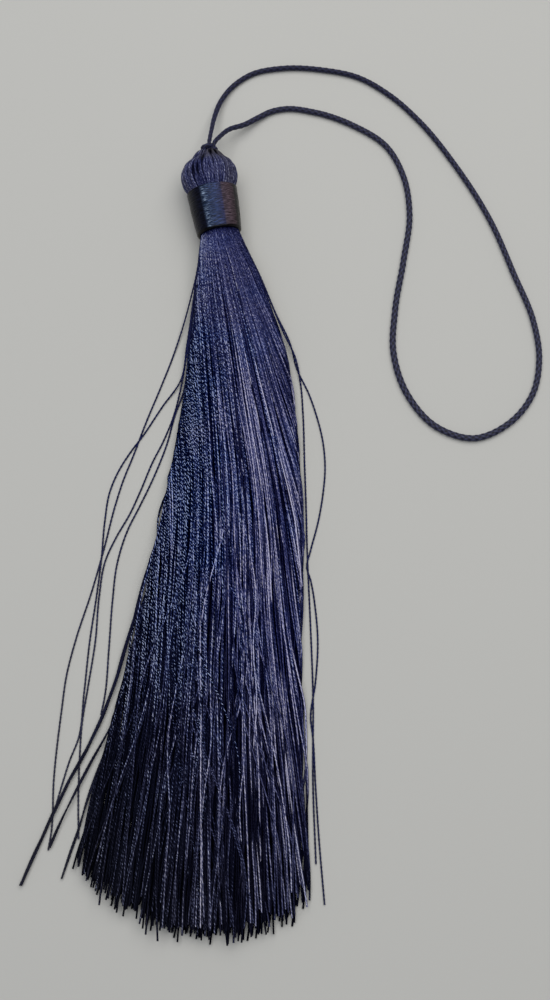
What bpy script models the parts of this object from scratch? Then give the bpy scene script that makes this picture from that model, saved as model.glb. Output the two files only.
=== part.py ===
"""A silky thread tassel, lying flat: thread head and skirt, neck binding, top knot and hanging loop.

Frame: the surface is z = 0, and the origin is the small flat spot under the head. The skirt runs towards
-Y, the top of the head points to +Y, and the hanging loop lies on the surface to +X. Lengths are written in
millimetres and turned into metres by MM.
"""

import math
from collections import namedtuple

import bmesh
import bpy
import numpy as np
from mathutils import Matrix, Vector, geometry

MM = 0.001

# Head and neck, in the head's own frame: "across", "up" and "along" (down the tassel from the ball's centre).
BALL_RADIUS = 4.75
BALL_HEIGHT = 4.52
HEAD_LEAN_DEG = 10.3
HEAD_SLOPE_DEG = 4.5
CROWN_TURN_DEG = -8.5
AROUND = 48
RING_POLAR_DEG = (14.0, 25.0, 37.0, 50.0, 63.0, 76.0, 89.0, 101.0, 111.0)
GATHER_RELIEF = 0.17
CREASE_DEPTH = 0.4
CREASE_ANGLE_DEG = 122.0
CREASE_WIDTH_DEG = 9.0
DIMPLE_ALONG = -4.0
DIMPLE_RIM_DROP = 0.28
SHOULDER_ALONG = 1.93
SHOULDER_RADIUS = 4.08
NECK_START = 2.05
NECK_START_RADIUS = 3.45
NECK_END = 10.0
NECK_END_RADIUS = 3.0
GAP = 0.3

# Binding, along the same axis.
BINDING_START = 2.35
BINDING_END = 10.2
BINDING_TOP_RADIUS = 4.18
BINDING_END_RADIUS = 3.56
BINDING_CROWN = 0.1
BINDING_EDGE = 0.16
BINDING_ROWS = 8
BINDING_AROUND = 40

# Skirt.
STRANDS = 235
ROOT_SPREAD = 2.74
ROOT_WIDTH = 0.205
FLARE_ALONG = 11.7
FLARE_ACROSS = 3.6
FLARE_UP = 3.32
FLARE_WIDTH = 0.27
FLOOR_SHARE = 0.085
CUT_UNEVENNESS = 0.75
STRAND_RISE = 0.87
GOLDEN = (math.sqrt(5.0) - 1.0) / 2.0
EDGE_THINNING = 0.9
SEED = 7

Section = namedtuple("Section", "y left right thick under crown settled width")
SKIRT = (
    Section(y=-17.0, left=-2.3, right=8.8, thick=7.0, under=0.7, crown=2.0, settled=0.0, width=0.34),
    Section(y=-29.0, left=-3.2, right=13.0, thick=6.2, under=0.3, crown=2.3, settled=0.0, width=0.38),
    Section(y=-50.0, left=-5.7, right=15.5, thick=5.1, under=0.0, crown=2.8, settled=1.0, width=0.42),
    Section(y=-80.0, left=-11.1, right=16.3, thick=4.2, under=0.0, crown=3.4, settled=1.0, width=0.45),
    Section(y=-122.0, left=-22.4, right=17.8, thick=2.8, under=0.0, crown=4.0, settled=1.0, width=0.44),
)

# The hem is cut unevenly: how far down it reaches, by the share of the threads that lie to the left.
Hem = namedtuple("Hem", "share y")
HEM = (
    Hem(0.00, -115.0),
    Hem(0.08, -118.0),
    Hem(0.25, -121.5),
    Hem(0.45, -124.3),
    Hem(0.60, -124.6),
    Hem(0.80, -122.8),
    Hem(1.00, -120.3),
)

# Stray threads and clumped locks that leave the skirt's edges: where each lies at a section, or None while
# it still lies in the skirt, or past its tip. The two long locks lie over the stray threads that they cross.
STRAY_WIDTH = 0.36
STRAY_STEP = 7.0
LOCKS_LIE_OVER_BELOW = -70.0
Stray = namedtuple("Stray", "y far_left mid_left near_left edge_left long_lock low_lock hem_lock near_right far_right")
STRAYS = (
    Stray(-29.0, -5.4, None, None, None, None, None, None, None, 14.0),
    Stray(-40.0, -9.6, -8.0, -5.9, -5.2, None, None, None, 15.3, 17.8),
    Stray(-52.0, -14.1, -13.3, -10.3, -9.0, None, None, None, 16.2, 19.4),
    Stray(-66.0, -17.9, -17.1, -16.3, -14.8, -9.3, None, None, 16.5, 17.3),
    Stray(-79.0, -21.0, -18.9, -18.0, -15.6, -12.7, None, None, 17.0, 18.1),
    Stray(-92.0, -23.1, -20.3, -19.5, None, -16.6, -15.2, None, 17.1, 17.8),
    Stray(-104.0, -24.3, -23.1, -20.0, None, -22.4, -20.9, -18.5, 17.1, 17.9),
)
Tip = namedtuple("Tip", "name x y height width")
STRAY_TIPS = (
    Tip("far_left", -24.6, -111.4, 0.0, STRAY_WIDTH),
    Tip("mid_left", -23.4, -105.6, 0.0, STRAY_WIDTH),
    Tip("near_left", -20.1, -107.0, 0.0, STRAY_WIDTH),
    Tip("edge_left", -16.3, -90.0, 0.0, STRAY_WIDTH),
    Tip("long_lock", -28.5, -116.9, 0.5, 0.75),
    Tip("low_lock", -24.1, -111.0, 0.5, 0.5),
    Tip("hem_lock", -22.1, -115.7, 0.0, 0.5),
    Tip("near_right", 17.7, -114.0, 0.0, STRAY_WIDTH),
    Tip("far_right", 18.9, -119.6, 0.0, STRAY_WIDTH),
)

# Top knot: the cord makes a small trefoil, pulled tight on the crown of the head.
KNOT_ALONG = -5.45
KNOT_RING = 0.95
KNOT_LOBE = 0.48
KNOT_CORD_RADIUS = 0.36
KNOT_STEPS = 54
KNOT_SIDES = 8

# Hanging loop: a round cord, laid through these places from the knot and back to it.
CORD_DIAMETER = 1.0
CORD_LIES = 0.52
CORD_STEP = 2.75
Place = namedtuple("Place", "x y z")
LOOP_ROUTE = (
    Place(-0.4, 6.6, 5.35),
    Place(0.1, 8.4, 5.0),
    Place(0.5, 10.4, 3.8),
    Place(0.8, 13.0, 2.3),
    Place(1.8, 15.9, 1.2),
    Place(3.5, 18.6, 0.7),
    Place(7.0, 21.3, CORD_LIES),
    Place(12.5, 22.5, CORD_LIES),
    Place(19.5, 22.2, CORD_LIES),
    Place(25.7, 20.8, CORD_LIES),
    Place(31.5, 17.2, CORD_LIES),
    Place(36.5, 12.3, CORD_LIES),
    Place(42.6, 3.9, CORD_LIES),
    Place(48.4, -6.5, CORD_LIES),
    Place(52.0, -16.0, CORD_LIES),
    Place(55.0, -24.5, CORD_LIES),
    Place(55.7, -31.3, CORD_LIES),
    Place(54.4, -37.2, CORD_LIES),
    Place(50.4, -42.2, CORD_LIES),
    Place(44.3, -44.9, CORD_LIES),
    Place(38.2, -43.0, CORD_LIES),
    Place(33.3, -37.2, CORD_LIES),
    Place(31.2, -30.2, CORD_LIES),
    Place(31.6, -22.4, CORD_LIES),
    Place(33.2, -13.5, CORD_LIES),
    Place(34.4, -5.0, CORD_LIES),
    Place(33.5, 1.9, CORD_LIES),
    Place(30.6, 7.6, CORD_LIES),
    Place(25.0, 11.5, CORD_LIES),
    Place(18.0, 14.1, CORD_LIES),
    Place(12.5, 14.4, CORD_LIES),
    Place(8.6, 13.3, 0.7),
    Place(5.6, 11.3, 1.6),
    Place(3.3, 9.5, 3.2),
    Place(1.8, 7.9, 4.7),
    Place(0.9, 6.6, 5.3),
)

# Surface finishes: colour, roughness and metallic value of each piece.
Finish = namedtuple("Finish", "colour roughness metallic")
FINISHES = {
    "thread_skirt": Finish((0.013, 0.016, 0.035, 1.0), 0.45, 0.0),
    "neck_binding": Finish((0.006, 0.008, 0.020, 1.0), 0.28, 0.0),
    "top_knot": Finish((0.014, 0.014, 0.024, 1.0), 0.60, 0.0),
    "hanging_loop": Finish((0.012, 0.012, 0.021, 1.0), 0.60, 0.0),
}


def clear_scene():
    """Remove every object that the file starts with."""
    for obj in list(bpy.data.objects):
        bpy.data.objects.remove(obj, do_unlink=True)


def finish_material(name):
    """Make the Principled material of one piece."""
    finish = FINISHES[name]
    material = bpy.data.materials.new(name)
    material.use_nodes = True
    shader = material.node_tree.nodes["Principled BSDF"]
    shader.inputs["Base Color"].default_value = finish.colour
    shader.inputs["Roughness"].default_value = finish.roughness
    shader.inputs["Metallic"].default_value = finish.metallic
    return material


def add_piece(name, data, parent):
    """Put a mesh or curve into the scene as one named piece with its own material."""
    data.materials.append(finish_material(name))
    obj = bpy.data.objects.new(name, data)
    obj.parent = parent
    bpy.context.collection.objects.link(obj)
    return obj


def mesh_from(bm, name):
    """Turn a closed bmesh into a mesh whose faces point out, shaded smooth but for its real edges."""
    bmesh.ops.recalc_face_normals(bm, faces=bm.faces)
    mesh = bpy.data.meshes.new(name)
    bm.to_mesh(mesh)
    bm.free()
    mesh.shade_smooth()
    mesh.set_sharp_from_angle(angle=math.radians(50.0))
    return mesh


def head_frame():
    """Give the head's frame: its columns are the across, up and along directions."""
    lean = math.radians(HEAD_LEAN_DEG)
    slope = math.radians(HEAD_SLOPE_DEG)
    across = Vector((math.cos(lean), math.sin(lean), 0.0))
    along = Vector((math.sin(lean) * math.cos(slope), -math.cos(lean) * math.cos(slope), -math.sin(slope)))
    up = along.cross(across)
    frame = Matrix((across, up, along)).transposed().to_4x4()
    frame.translation = Vector((0.0, 0.0, BALL_HEIGHT * MM))
    return frame


def turn_ring(points, degrees):
    """Turn points of the head's frame about its up direction, through the ball's centre."""
    turn = Matrix.Rotation(math.radians(degrees), 3, "Y")
    return [turn @ point for point in points]


def bridge(bm, ring_a, ring_b):
    """Join two rings of the same count with quads."""
    count = len(ring_a)
    for i in range(count):
        j = (i + 1) % count
        bm.faces.new((ring_a[i], ring_a[j], ring_b[j], ring_b[i]))


def gather_factor(angle, strength):
    """Give how far the gathered threads stand out at an angle round the ball, with one deep crease."""
    wave = math.cos(angle * AROUND / 2.0) + 0.5 * math.cos(5.0 * angle + 1.0)
    away = math.remainder(angle - math.radians(CREASE_ANGLE_DEG), math.tau)
    crease = CREASE_DEPTH * math.exp(-((away / math.radians(CREASE_WIDTH_DEG)) ** 2))
    return strength * (GATHER_RELIEF * wave - crease)


def head_rings():
    """List the head's rings from crown to neck: along, radius, gather strength and turn of each."""
    rings = []
    for polar in RING_POLAR_DEG:
        angle = math.radians(polar)
        drop = DIMPLE_RIM_DROP if polar == RING_POLAR_DEG[0] else 0.0
        along = drop - BALL_RADIUS * math.cos(angle)
        radius = BALL_RADIUS * math.sin(angle)
        strength = math.sqrt(math.sin(angle)) * (1.0 - 0.55 * polar / RING_POLAR_DEG[-1])
        turn = CROWN_TURN_DEG * max(0.0, 1.0 - polar / 100.0)
        rings.append((along, radius, strength, turn))
    rings.append((SHOULDER_ALONG, SHOULDER_RADIUS, 0.3, 0.0))
    rings.append((NECK_START, NECK_START_RADIUS, 0.0, 0.0))
    rings.append((NECK_END, NECK_END_RADIUS, 0.0, 0.0))
    return rings


def build_head(bm, frame):
    """Make the gathered ball and the neck in the bmesh, cut its flat spot, and return the neck's last ring."""
    crown = turn_ring([Vector((0.0, 0.0, DIMPLE_ALONG * MM))], CROWN_TURN_DEG)[0]
    pole = bm.verts.new(frame @ crown)
    previous = None
    for along, radius, strength, turn in head_rings():
        ring = []
        for i in range(AROUND):
            angle = math.tau * i / AROUND
            reach = (radius + gather_factor(angle, strength)) * MM
            ring.append(Vector((reach * math.cos(angle), reach * math.sin(angle), along * MM)))
        ring = [bm.verts.new(frame @ point) for point in turn_ring(ring, turn)]
        if previous is None:
            for i in range(AROUND):
                bm.faces.new((pole, ring[i], ring[(i + 1) % AROUND]))
        else:
            bridge(bm, previous, ring)
        previous = ring
    everything = bm.verts[:] + bm.edges[:] + bm.faces[:]
    cut = bmesh.ops.bisect_plane(
        bm, geom=everything, dist=1e-7, plane_co=(0.0, 0.0, 0.0), plane_no=(0.0, 0.0, -1.0), clear_outer=True)
    spot = [item for item in cut["geom_cut"] if isinstance(item, bmesh.types.BMEdge)]
    bmesh.ops.edgeloop_fill(bm, edges=spot)
    return previous


def place_across(share, crown):
    """Give the place across a section, from -1 to 1, that leaves this share of the strands to the left."""
    x = np.linspace(-1.0, 1.0, 801)
    height = (1.0 - np.abs(x) ** crown) ** EDGE_THINNING
    area = np.concatenate(([0.0], np.cumsum(height[1:] + height[:-1])))
    return float(np.interp(share, area / area[-1], x))


def chord(place, crown):
    """Give the section's height at a place across it, as a share of its full thickness."""
    return math.sqrt(max(0.0, 1.0 - abs(place) ** crown))


def in_head(frame, share, level, along, across_reach, up_reach):
    """Place a strand in a round section of the neck, and give the section's across and up directions."""
    place = place_across(share, 2.0)
    height = chord(place, 2.0) * (2.0 * level - 1.0)
    local = Vector((place * across_reach, height * up_reach, along)) * MM
    point = frame @ local
    point.z = max(point.z, 0.0)
    return point, frame.col[0].to_3d(), frame.col[1].to_3d()


def in_skirt(section, share, level):
    """Place a strand in a section of the skirt: on the surface if it is of the lowest ones."""
    place = place_across(share, section.crown)
    middle = (section.left + section.right) / 2.0
    x = middle + place * (section.right - section.left) / 2.0
    full = section.thick - section.width
    thick = full * chord(place, section.crown)
    z = section.under * (full - thick) / 2.0 + level * thick
    if level < FLOOR_SHARE:
        z *= 1.0 - section.settled
    return Vector((x, section.y, z)) * MM


def strand_stations(frame, share, level, tip_y):
    """List a strand's stations from its root to its tip: point, across and up directions, and width."""
    flat = (Vector((1.0, 0.0, 0.0)), Vector((0.0, 0.0, 1.0)))
    root = in_head(frame, share, level, NECK_END, ROOT_SPREAD, ROOT_SPREAD)
    flare = in_head(frame, share, level, FLARE_ALONG, FLARE_ACROSS, FLARE_UP)
    stations = [root + (ROOT_WIDTH,), flare + (FLARE_WIDTH,)]
    for section in SKIRT:
        stations.append((in_skirt(section, share, level),) + flat + (section.width,))
    above = stations[-2][0]
    below = stations[-1][0]
    cut = (tip_y * MM - above.y) / (below.y - above.y)
    stations[-1] = (above.lerp(below, cut),) + stations[-1][1:]
    return stations


def smooth_route(places, step):
    """Read evenly spaced points from a smooth curve through the places (Catmull-Rom)."""
    points = np.array(places)
    padded = np.vstack([2.0 * points[0] - points[1], points, 2.0 * points[-1] - points[-2]])
    t = np.linspace(0.0, 1.0, 24, endpoint=False)[:, None]
    pieces = []
    for i in range(1, len(points)):
        before, start, end, after = padded[i - 1:i + 3]
        linear = (end - before) / 2.0
        square = before - 2.5 * start + 2.0 * end - 0.5 * after
        cube = 1.5 * (start - end) + 0.5 * (after - before)
        pieces.append(start + linear * t + square * t ** 2 + cube * t ** 3)
    fine = np.vstack(pieces + [points[-1:]])
    lengths = np.concatenate(([0.0], np.cumsum(np.linalg.norm(np.diff(fine, axis=0), axis=1))))
    wanted = np.linspace(0.0, lengths[-1], int(round(lengths[-1] / step)) + 1)
    return np.column_stack([np.interp(wanted, lengths, fine[:, k]) for k in range(3)])


def lie_along(stations, y):
    """Give the point at which a strand that still lies in the skirt passes a section."""
    ys = [point.y for point, _, _, _ in reversed(stations)]
    xs = [point.x for point, _, _, _ in reversed(stations)]
    zs = [point.z for point, _, _, _ in reversed(stations)]
    return Vector((float(np.interp(y, ys, xs)), y, float(np.interp(y, ys, zs))))


def stray_stations(stations, tip):
    """Lead a strand out of the skirt's edge, on a smooth curve through the stray table, down to its own tip."""
    flat = stations[-1][1:3]
    led = stations[:3]
    route = []
    for row in STRAYS:
        x = getattr(row, tip.name)
        if row.y <= tip.y + 1.0:
            continue
        if x is None:
            led.append((lie_along(stations, row.y * MM),) + flat + (STRAY_WIDTH,))
        else:
            route.append((x, row.y, tip.height if row.y < LOCKS_LIE_OVER_BELOW else 0.0))
    route.insert(0, tuple(led[-1][0] / MM))
    route.append((tip.x, tip.y, tip.height))
    for place in smooth_route(route, STRAY_STEP)[1:]:
        point = Vector((place[0], place[1], max(0.0, place[2]))) * MM
        led.append((point,) + flat + (tip.width,))
    return led


def strand_ring(station):
    """Give the three corners of a strand at a station: a flat base and a ridge above it."""
    point, across, up, width = station
    half = across * (width / 2.0 * MM)
    ridge = up * (width * STRAND_RISE * MM)
    return (point - half, point + half, point + ridge)


def all_strands(frame):
    """List the stations of every strand, in order from left to right."""
    rng = np.random.default_rng(SEED)
    lefts = [tip for tip in STRAY_TIPS if tip.x < 0.0]
    rights = [tip for tip in STRAY_TIPS if tip.x > 0.0]
    strays = {i: tip for i, tip in enumerate(lefts)}
    strays.update({STRANDS - len(rights) + i: tip for i, tip in enumerate(rights)})
    shares = [row.share for row in HEM]
    ends = [row.y for row in HEM]
    strands = []
    for i in range(STRANDS):
        share = (i + 0.5) / STRANDS
        level = (0.5 + i * GOLDEN) % 1.0
        tip_y = float(np.interp(share, shares, ends)) + float(rng.normal(0.0, CUT_UNEVENNESS))
        stations = strand_stations(frame, share, level, tip_y)
        if i in strays:
            stations = stray_stations(stations, strays[i])
        strands.append(stations)
    return strands


def close_neck(bm, frame, rim, roots):
    """Cover the neck's end between its rim and the strands' roots, which stay open for the strands."""
    inverse = frame.inverted()
    verts = list(rim)
    outlines = [list(range(len(rim)))]
    for ring in roots:
        outlines.append([len(verts), len(verts) + 1, len(verts) + 2])
        verts.extend(ring)
    flat = [(inverse @ vert.co).to_2d() / MM for vert in verts]
    cover = geometry.delaunay_2d_cdt(flat, [], outlines, 1, 1e-6, True)
    faces = cover[2]
    sources = cover[3]
    owners = cover[5]
    for face, owner in zip(faces, owners):
        if list(owner) == [0]:
            bm.faces.new([verts[sources[k][0]] for k in face])


def build_thread_skirt(frame, parent):
    """Make the head, neck and strands as one solid."""
    bm = bmesh.new()
    rim = build_head(bm, frame)
    roots = []
    for stations in all_strands(frame):
        rings = [[bm.verts.new(corner) for corner in strand_ring(station)] for station in stations]
        for ring_a, ring_b in zip(rings, rings[1:]):
            bridge(bm, ring_a, ring_b)
        bm.faces.new(rings[-1])
        roots.append(rings[0])
    close_neck(bm, frame, rim, roots)
    return add_piece("thread_skirt", mesh_from(bm, "thread_skirt"), parent)


def binding_profile():
    """List the binding's closed outline: along and radius, the crowned outside first, then the bore."""
    outline = []
    for step in range(BINDING_ROWS + 1):
        share = step / BINDING_ROWS
        along = BINDING_START + (BINDING_END - BINDING_START) * share
        radius = BINDING_TOP_RADIUS + (BINDING_END_RADIUS - BINDING_TOP_RADIUS) * share
        radius += BINDING_CROWN * math.sin(math.pi * share)
        if step in (0, BINDING_ROWS):
            radius -= BINDING_EDGE
        outline.append((along, radius))
    outline.append((BINDING_END, NECK_END_RADIUS + GAP))
    outline.append((BINDING_START, NECK_START_RADIUS + GAP))
    return outline


def build_neck_binding(frame, parent):
    """Turn the binding's outline round the neck as a closed sleeve."""
    bm = bmesh.new()
    rings = []
    for along, radius in binding_profile():
        ring = []
        for i in range(BINDING_AROUND):
            angle = math.tau * i / BINDING_AROUND
            ring.append(bm.verts.new(Vector((radius * math.cos(angle), radius * math.sin(angle), along)) * MM))
        rings.append(ring)
    for ring_a, ring_b in zip(rings, rings[1:] + rings[:1]):
        bridge(bm, ring_a, ring_b)
    obj = add_piece("neck_binding", mesh_from(bm, "neck_binding"), parent)
    obj.location = frame.translation
    obj.rotation_euler = frame.to_euler()
    return obj


def knot_point(t):
    """Give a point of the trefoil: twice round the ring while it weaves three times in and out."""
    reach = KNOT_RING + KNOT_LOBE * math.cos(3.0 * t)
    return Vector((reach * math.cos(2.0 * t), reach * math.sin(2.0 * t), KNOT_LOBE * math.sin(3.0 * t))) * MM


def build_top_knot(frame, parent):
    """Sweep the cord's round section along the closed trefoil."""
    bm = bmesh.new()
    rings = []
    for step in range(KNOT_STEPS):
        t = math.tau * step / KNOT_STEPS
        centre = knot_point(t)
        tangent = (knot_point(t + 0.01) - knot_point(t - 0.01)).normalized()
        outward = Vector((math.cos(2.0 * t), math.sin(2.0 * t), 0.0))
        side = tangent.cross(outward).normalized()
        outward = side.cross(tangent)
        ring = []
        for i in range(KNOT_SIDES):
            angle = math.tau * i / KNOT_SIDES
            reach = outward * math.cos(angle) + side * math.sin(angle)
            ring.append(bm.verts.new(centre + reach * (KNOT_CORD_RADIUS * MM)))
        rings.append(ring)
    for ring_a, ring_b in zip(rings, rings[1:] + rings[:1]):
        bridge(bm, ring_a, ring_b)
    obj = add_piece("top_knot", mesh_from(bm, "top_knot"), parent)
    turned = frame @ Matrix.Rotation(math.radians(CROWN_TURN_DEG), 4, "Y")
    obj.location = turned @ Vector((0.0, 0.0, KNOT_ALONG * MM))
    obj.rotation_euler = turned.to_euler()
    return obj


def build_hanging_loop(parent):
    """Lay the cord as a plain tube along its route."""
    points = smooth_route(LOOP_ROUTE, CORD_STEP)
    curve = bpy.data.curves.new("hanging_loop", "CURVE")
    curve.dimensions = "3D"
    curve.bevel_depth = CORD_DIAMETER / 2.0 * MM
    curve.bevel_resolution = 2
    curve.use_fill_caps = True
    spline = curve.splines.new("POLY")
    spline.points.add(len(points) - 1)
    for target, point in zip(spline.points, points):
        target.co = (point[0] * MM, point[1] * MM, point[2] * MM, 1.0)
    return add_piece("hanging_loop", curve, parent)


def main():
    """Build the whole tassel."""
    clear_scene()
    tassel = bpy.data.objects.new("tassel", None)
    bpy.context.collection.objects.link(tassel)
    frame = head_frame()
    build_thread_skirt(frame, tassel)
    build_neck_binding(frame, tassel)
    build_top_knot(frame, tassel)
    build_hanging_loop(tassel)


main()
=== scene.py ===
# %% [markdown]
# # A silky thread tassel, dressed thread by thread
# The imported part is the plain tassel: head, neck binding, top knot, skirt and hanging loop, in simple shapes.
# This lesson loads it as a fixed frame and lays the real surface over it: two-ply threads, a wound neck band
# and a braided cord. The frame is never moved, so everything below is worked out in its own coordinates.

# %% The frame
import math
from collections import namedtuple

import bpy
import numpy as np
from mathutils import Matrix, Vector


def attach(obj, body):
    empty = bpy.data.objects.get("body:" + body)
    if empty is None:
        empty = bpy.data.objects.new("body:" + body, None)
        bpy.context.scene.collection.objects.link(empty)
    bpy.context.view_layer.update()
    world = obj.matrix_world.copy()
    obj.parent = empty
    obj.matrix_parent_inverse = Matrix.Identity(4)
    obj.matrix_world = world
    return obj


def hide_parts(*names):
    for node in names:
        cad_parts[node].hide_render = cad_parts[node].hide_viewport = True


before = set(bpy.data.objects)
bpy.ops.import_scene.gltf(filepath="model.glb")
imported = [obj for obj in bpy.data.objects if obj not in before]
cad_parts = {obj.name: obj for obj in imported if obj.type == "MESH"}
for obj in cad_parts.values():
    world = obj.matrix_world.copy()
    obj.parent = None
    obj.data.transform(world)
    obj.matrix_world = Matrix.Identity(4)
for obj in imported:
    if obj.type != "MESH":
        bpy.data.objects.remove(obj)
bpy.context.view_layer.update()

MM = 0.001
print("solids to dress:", sorted(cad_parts))

# %% [markdown]
# ## The camera
# The tassel lies on a table and is looked down on from above the lower end of the skirt, twelve degrees off
# plumb. A normal lens at a hand's height gives the slight widening of the knot, which stands up nearer to it.

# %% Camera
CAMERA_AT = Vector((0.0112, -0.10247, 0.22194))
CAMERA_AIM = Vector((0.0112, -0.0553, 0.0))
SENSOR = 36.0
LENS = 49.46
NEAREST = 10.0 * MM

camera_data = bpy.data.cameras.new("table_camera")
camera_data.sensor_width = SENSOR
camera_data.lens = LENS
camera_data.clip_start = NEAREST
camera = bpy.data.objects.new("table_camera", camera_data)
camera.location = CAMERA_AT
camera.rotation_euler = (CAMERA_AIM - CAMERA_AT).to_track_quat("-Z", "Y").to_euler()
bpy.context.collection.objects.link(camera)
bpy.context.scene.camera = camera
bpy.context.scene.view_settings.view_transform = "Standard"
print("lens", LENS, "mm, from", round((CAMERA_AIM - CAMERA_AT).length, 3), "m")

# %% [markdown]
# ## Lines and skins
# Everything on a tassel is a long thin thing: a thread, a cord, a wound strand. So the whole lesson needs two
# tools. One reads a smooth line through a few places. The other carries a ring of points along such lines and
# skins them as tubes. Both work on whole arrays, so seven hundred threads cost no more code than one.

# %% Small formulas
TABLE_UP = np.array((0.0, 0.0, 1.0))


def bell(x, middle, width):
    """A bell: e to the power of minus the square of the distance from its middle, counted in widths."""
    return np.exp(-(((x - middle) / width) ** 2))


def fade_in(x, start, length, low=0.0, high=1.0):
    """Grows evenly from 0 at the start to 1 a length further on, and is kept between low and high."""
    return np.clip((x - start) / length, low, high)


def ring_turns(sides):
    """Gives the angles of the points of a ring: equal parts of a full turn."""
    return np.linspace(0.0, 2.0 * np.pi, sides, endpoint=False)


def around(radius, turn, along):
    """Gives places round an axis: the radius times cosine and sine of the turn, and the place along it."""
    return np.stack(np.broadcast_arrays(radius * np.cos(turn), radius * np.sin(turn), along), axis=-1)


def over_table(points, clearance):
    """Raises every point to the clearance above the table, where it would be lower."""
    points[..., 2] = np.maximum(points[..., 2], clearance)
    return points


# %% Smooth lines
def smooth_lines(places, count):
    """Reads count evenly spaced points from a smooth line through each row of places.

    Between two places the line is the cubic that leaves and arrives along the blended directions of the
    stretches on both sides, weighted so that the shorter stretch counts for more.
    """
    places = np.asarray(places, dtype=float)
    steps = np.diff(places, axis=1)
    lengths = np.linalg.norm(steps, axis=2, keepdims=True)
    slopes = steps / lengths
    before, after = lengths[:, :-1], lengths[:, 1:]
    inner = (slopes[:, :-1] * after + slopes[:, 1:] * before) / (before + after)
    slopes = np.concatenate([slopes[:, :1], inner, slopes[:, -1:]], axis=1)
    knots = np.concatenate([np.zeros((len(places), 1)), np.cumsum(lengths[:, :, 0], axis=1)], axis=1)
    wanted = knots[:, -1:] * np.linspace(0.0, 1.0, count)
    piece = (wanted[:, :, None] >= knots[:, None, :]).sum(axis=2) - 1
    piece = np.clip(piece, 0, places.shape[1] - 2)

    def pick(values, shift=0):
        return np.take_along_axis(values, (piece + shift)[:, :, None], axis=1)

    stretch = pick(lengths)
    t = (wanted[:, :, None] - pick(knots[:, :, None])) / stretch
    start, end = pick(places), pick(places, 1)
    leave, arrive = pick(slopes) * stretch, pick(slopes, 1) * stretch
    return (start * (2 * t**3 - 3 * t**2 + 1) + leave * (t**3 - 2 * t**2 + t)
            + end * (3 * t**2 - 2 * t**3) + arrive * (t**3 - t**2))


def line_lengths(lines):
    """Gives the distance run along each line at each of its points, starting from nothing."""
    steps = np.linalg.norm(np.diff(lines, axis=1), axis=2)
    return np.concatenate([np.zeros((len(lines), 1)), np.cumsum(steps, axis=1)], axis=1)


# %% Rings carried along lines
def sweep(lines, outward, reach_out, reach_side, closed=False):
    """Carries a ring of points along each line.

    A ring point is the line's point, plus reach_out times the cosine of its turn in the outward direction,
    plus reach_side times the sine of its turn in the sideways direction; both are square to the line.
    """
    if closed:
        tangent = np.roll(lines, -1, axis=1) - np.roll(lines, 1, axis=1)
    else:
        tangent = np.gradient(lines, axis=1)
    tangent = tangent / np.linalg.norm(tangent, axis=2, keepdims=True)
    out = outward - (outward * tangent).sum(axis=2, keepdims=True) * tangent
    out = out / np.linalg.norm(out, axis=2, keepdims=True)
    side = np.cross(tangent, out)
    turn = ring_turns(reach_out.shape[2])
    return (lines[:, :, None, :] + (reach_out * np.cos(turn))[..., None] * out[:, :, None, :]
            + (reach_side * np.sin(turn))[..., None] * side[:, :, None, :])


# %% Faces over the rings
def tube_faces(tubes, steps, sides, along, closed):
    """Gives a row for each corner of each face, and the number of the row that each face starts at.

    A row is the corner's point, the share of the way round its ring, and the millimetres run along its line.
    Points count up round a ring, ring by ring, tube by tube. A wall has two corners on a ring and two on the
    next, and an open tube has a lid on its first ring and on its last.
    """
    point = np.arange(tubes * steps * sides).reshape(tubes, steps, sides)
    if closed:
        point = np.concatenate([point, point[:, :1]], axis=1)
    point = np.concatenate([point, point[:, :, :1]], axis=2)
    share = np.broadcast_to(np.linspace(0.0, 1.0, sides + 1), point.shape)
    run = np.broadcast_to(along[:, :, None] / MM, point.shape)
    grid = np.stack([point, share, run], axis=-1)
    walls = np.stack([grid[:, :-1, :-1], grid[:, :-1, 1:], grid[:, 1:, 1:], grid[:, 1:, :-1]], axis=3)
    walls = walls.reshape(-1, 3)
    starts = np.arange(0, len(walls), 4)
    if closed:
        return walls, starts
    lids = np.concatenate([grid[:, 0, :-1][:, ::-1], grid[:, -1, :-1]]).reshape(-1, 3)
    lid_starts = np.arange(0, len(lids), sides) + len(walls)
    return np.concatenate([walls, lids]), np.concatenate([starts, lid_starts])


# %% Skins over the rings
SHARP = math.radians(80.0)  # an edge sharper than this stays an edge: only the lids' rims are


def skin(name, rings, along, closed=False, shades=0.5, lights=1.0):
    """Skins rows of rings as tubes: four-sided faces between rings, one flat face at each open end.

    Two numbers for each ring point are kept as attributes: its shade, and how much light reaches it.
    """
    tubes, steps, sides = rings.shape[:3]
    corners, starts = tube_faces(tubes, steps, sides, along, closed)
    mesh = bpy.data.meshes.new(name)
    mesh.vertices.add(tubes * steps * sides)
    mesh.loops.add(len(corners))
    mesh.polygons.add(len(starts))
    mesh.vertices.foreach_set("co", rings.astype(np.float32).ravel())
    mesh.loops.foreach_set("vertex_index", corners[:, 0].astype(np.int32))
    mesh.polygons.foreach_set("loop_start", starts.astype(np.int32))
    mesh.update(calc_edges=True)
    mesh.polygons.foreach_set("use_smooth", np.ones(len(starts), dtype=bool))
    mesh.uv_layers.new(name="along").data.foreach_set("uv", corners[:, 1:].astype(np.float32).ravel())
    for title, numbers in (("shade", shades), ("light", lights)):
        values = np.broadcast_to(numbers, (tubes, steps, sides)).astype(np.float32)
        mesh.attributes.new(title, "FLOAT", "POINT").data.foreach_set("value", values.ravel())
    mesh.set_sharp_from_angle(angle=SHARP)
    piece = bpy.data.objects.new(name, mesh)
    bpy.context.collection.objects.link(piece)
    print(name, "has", len(corners) - 2 * len(starts), "triangles")
    return piece


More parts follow.
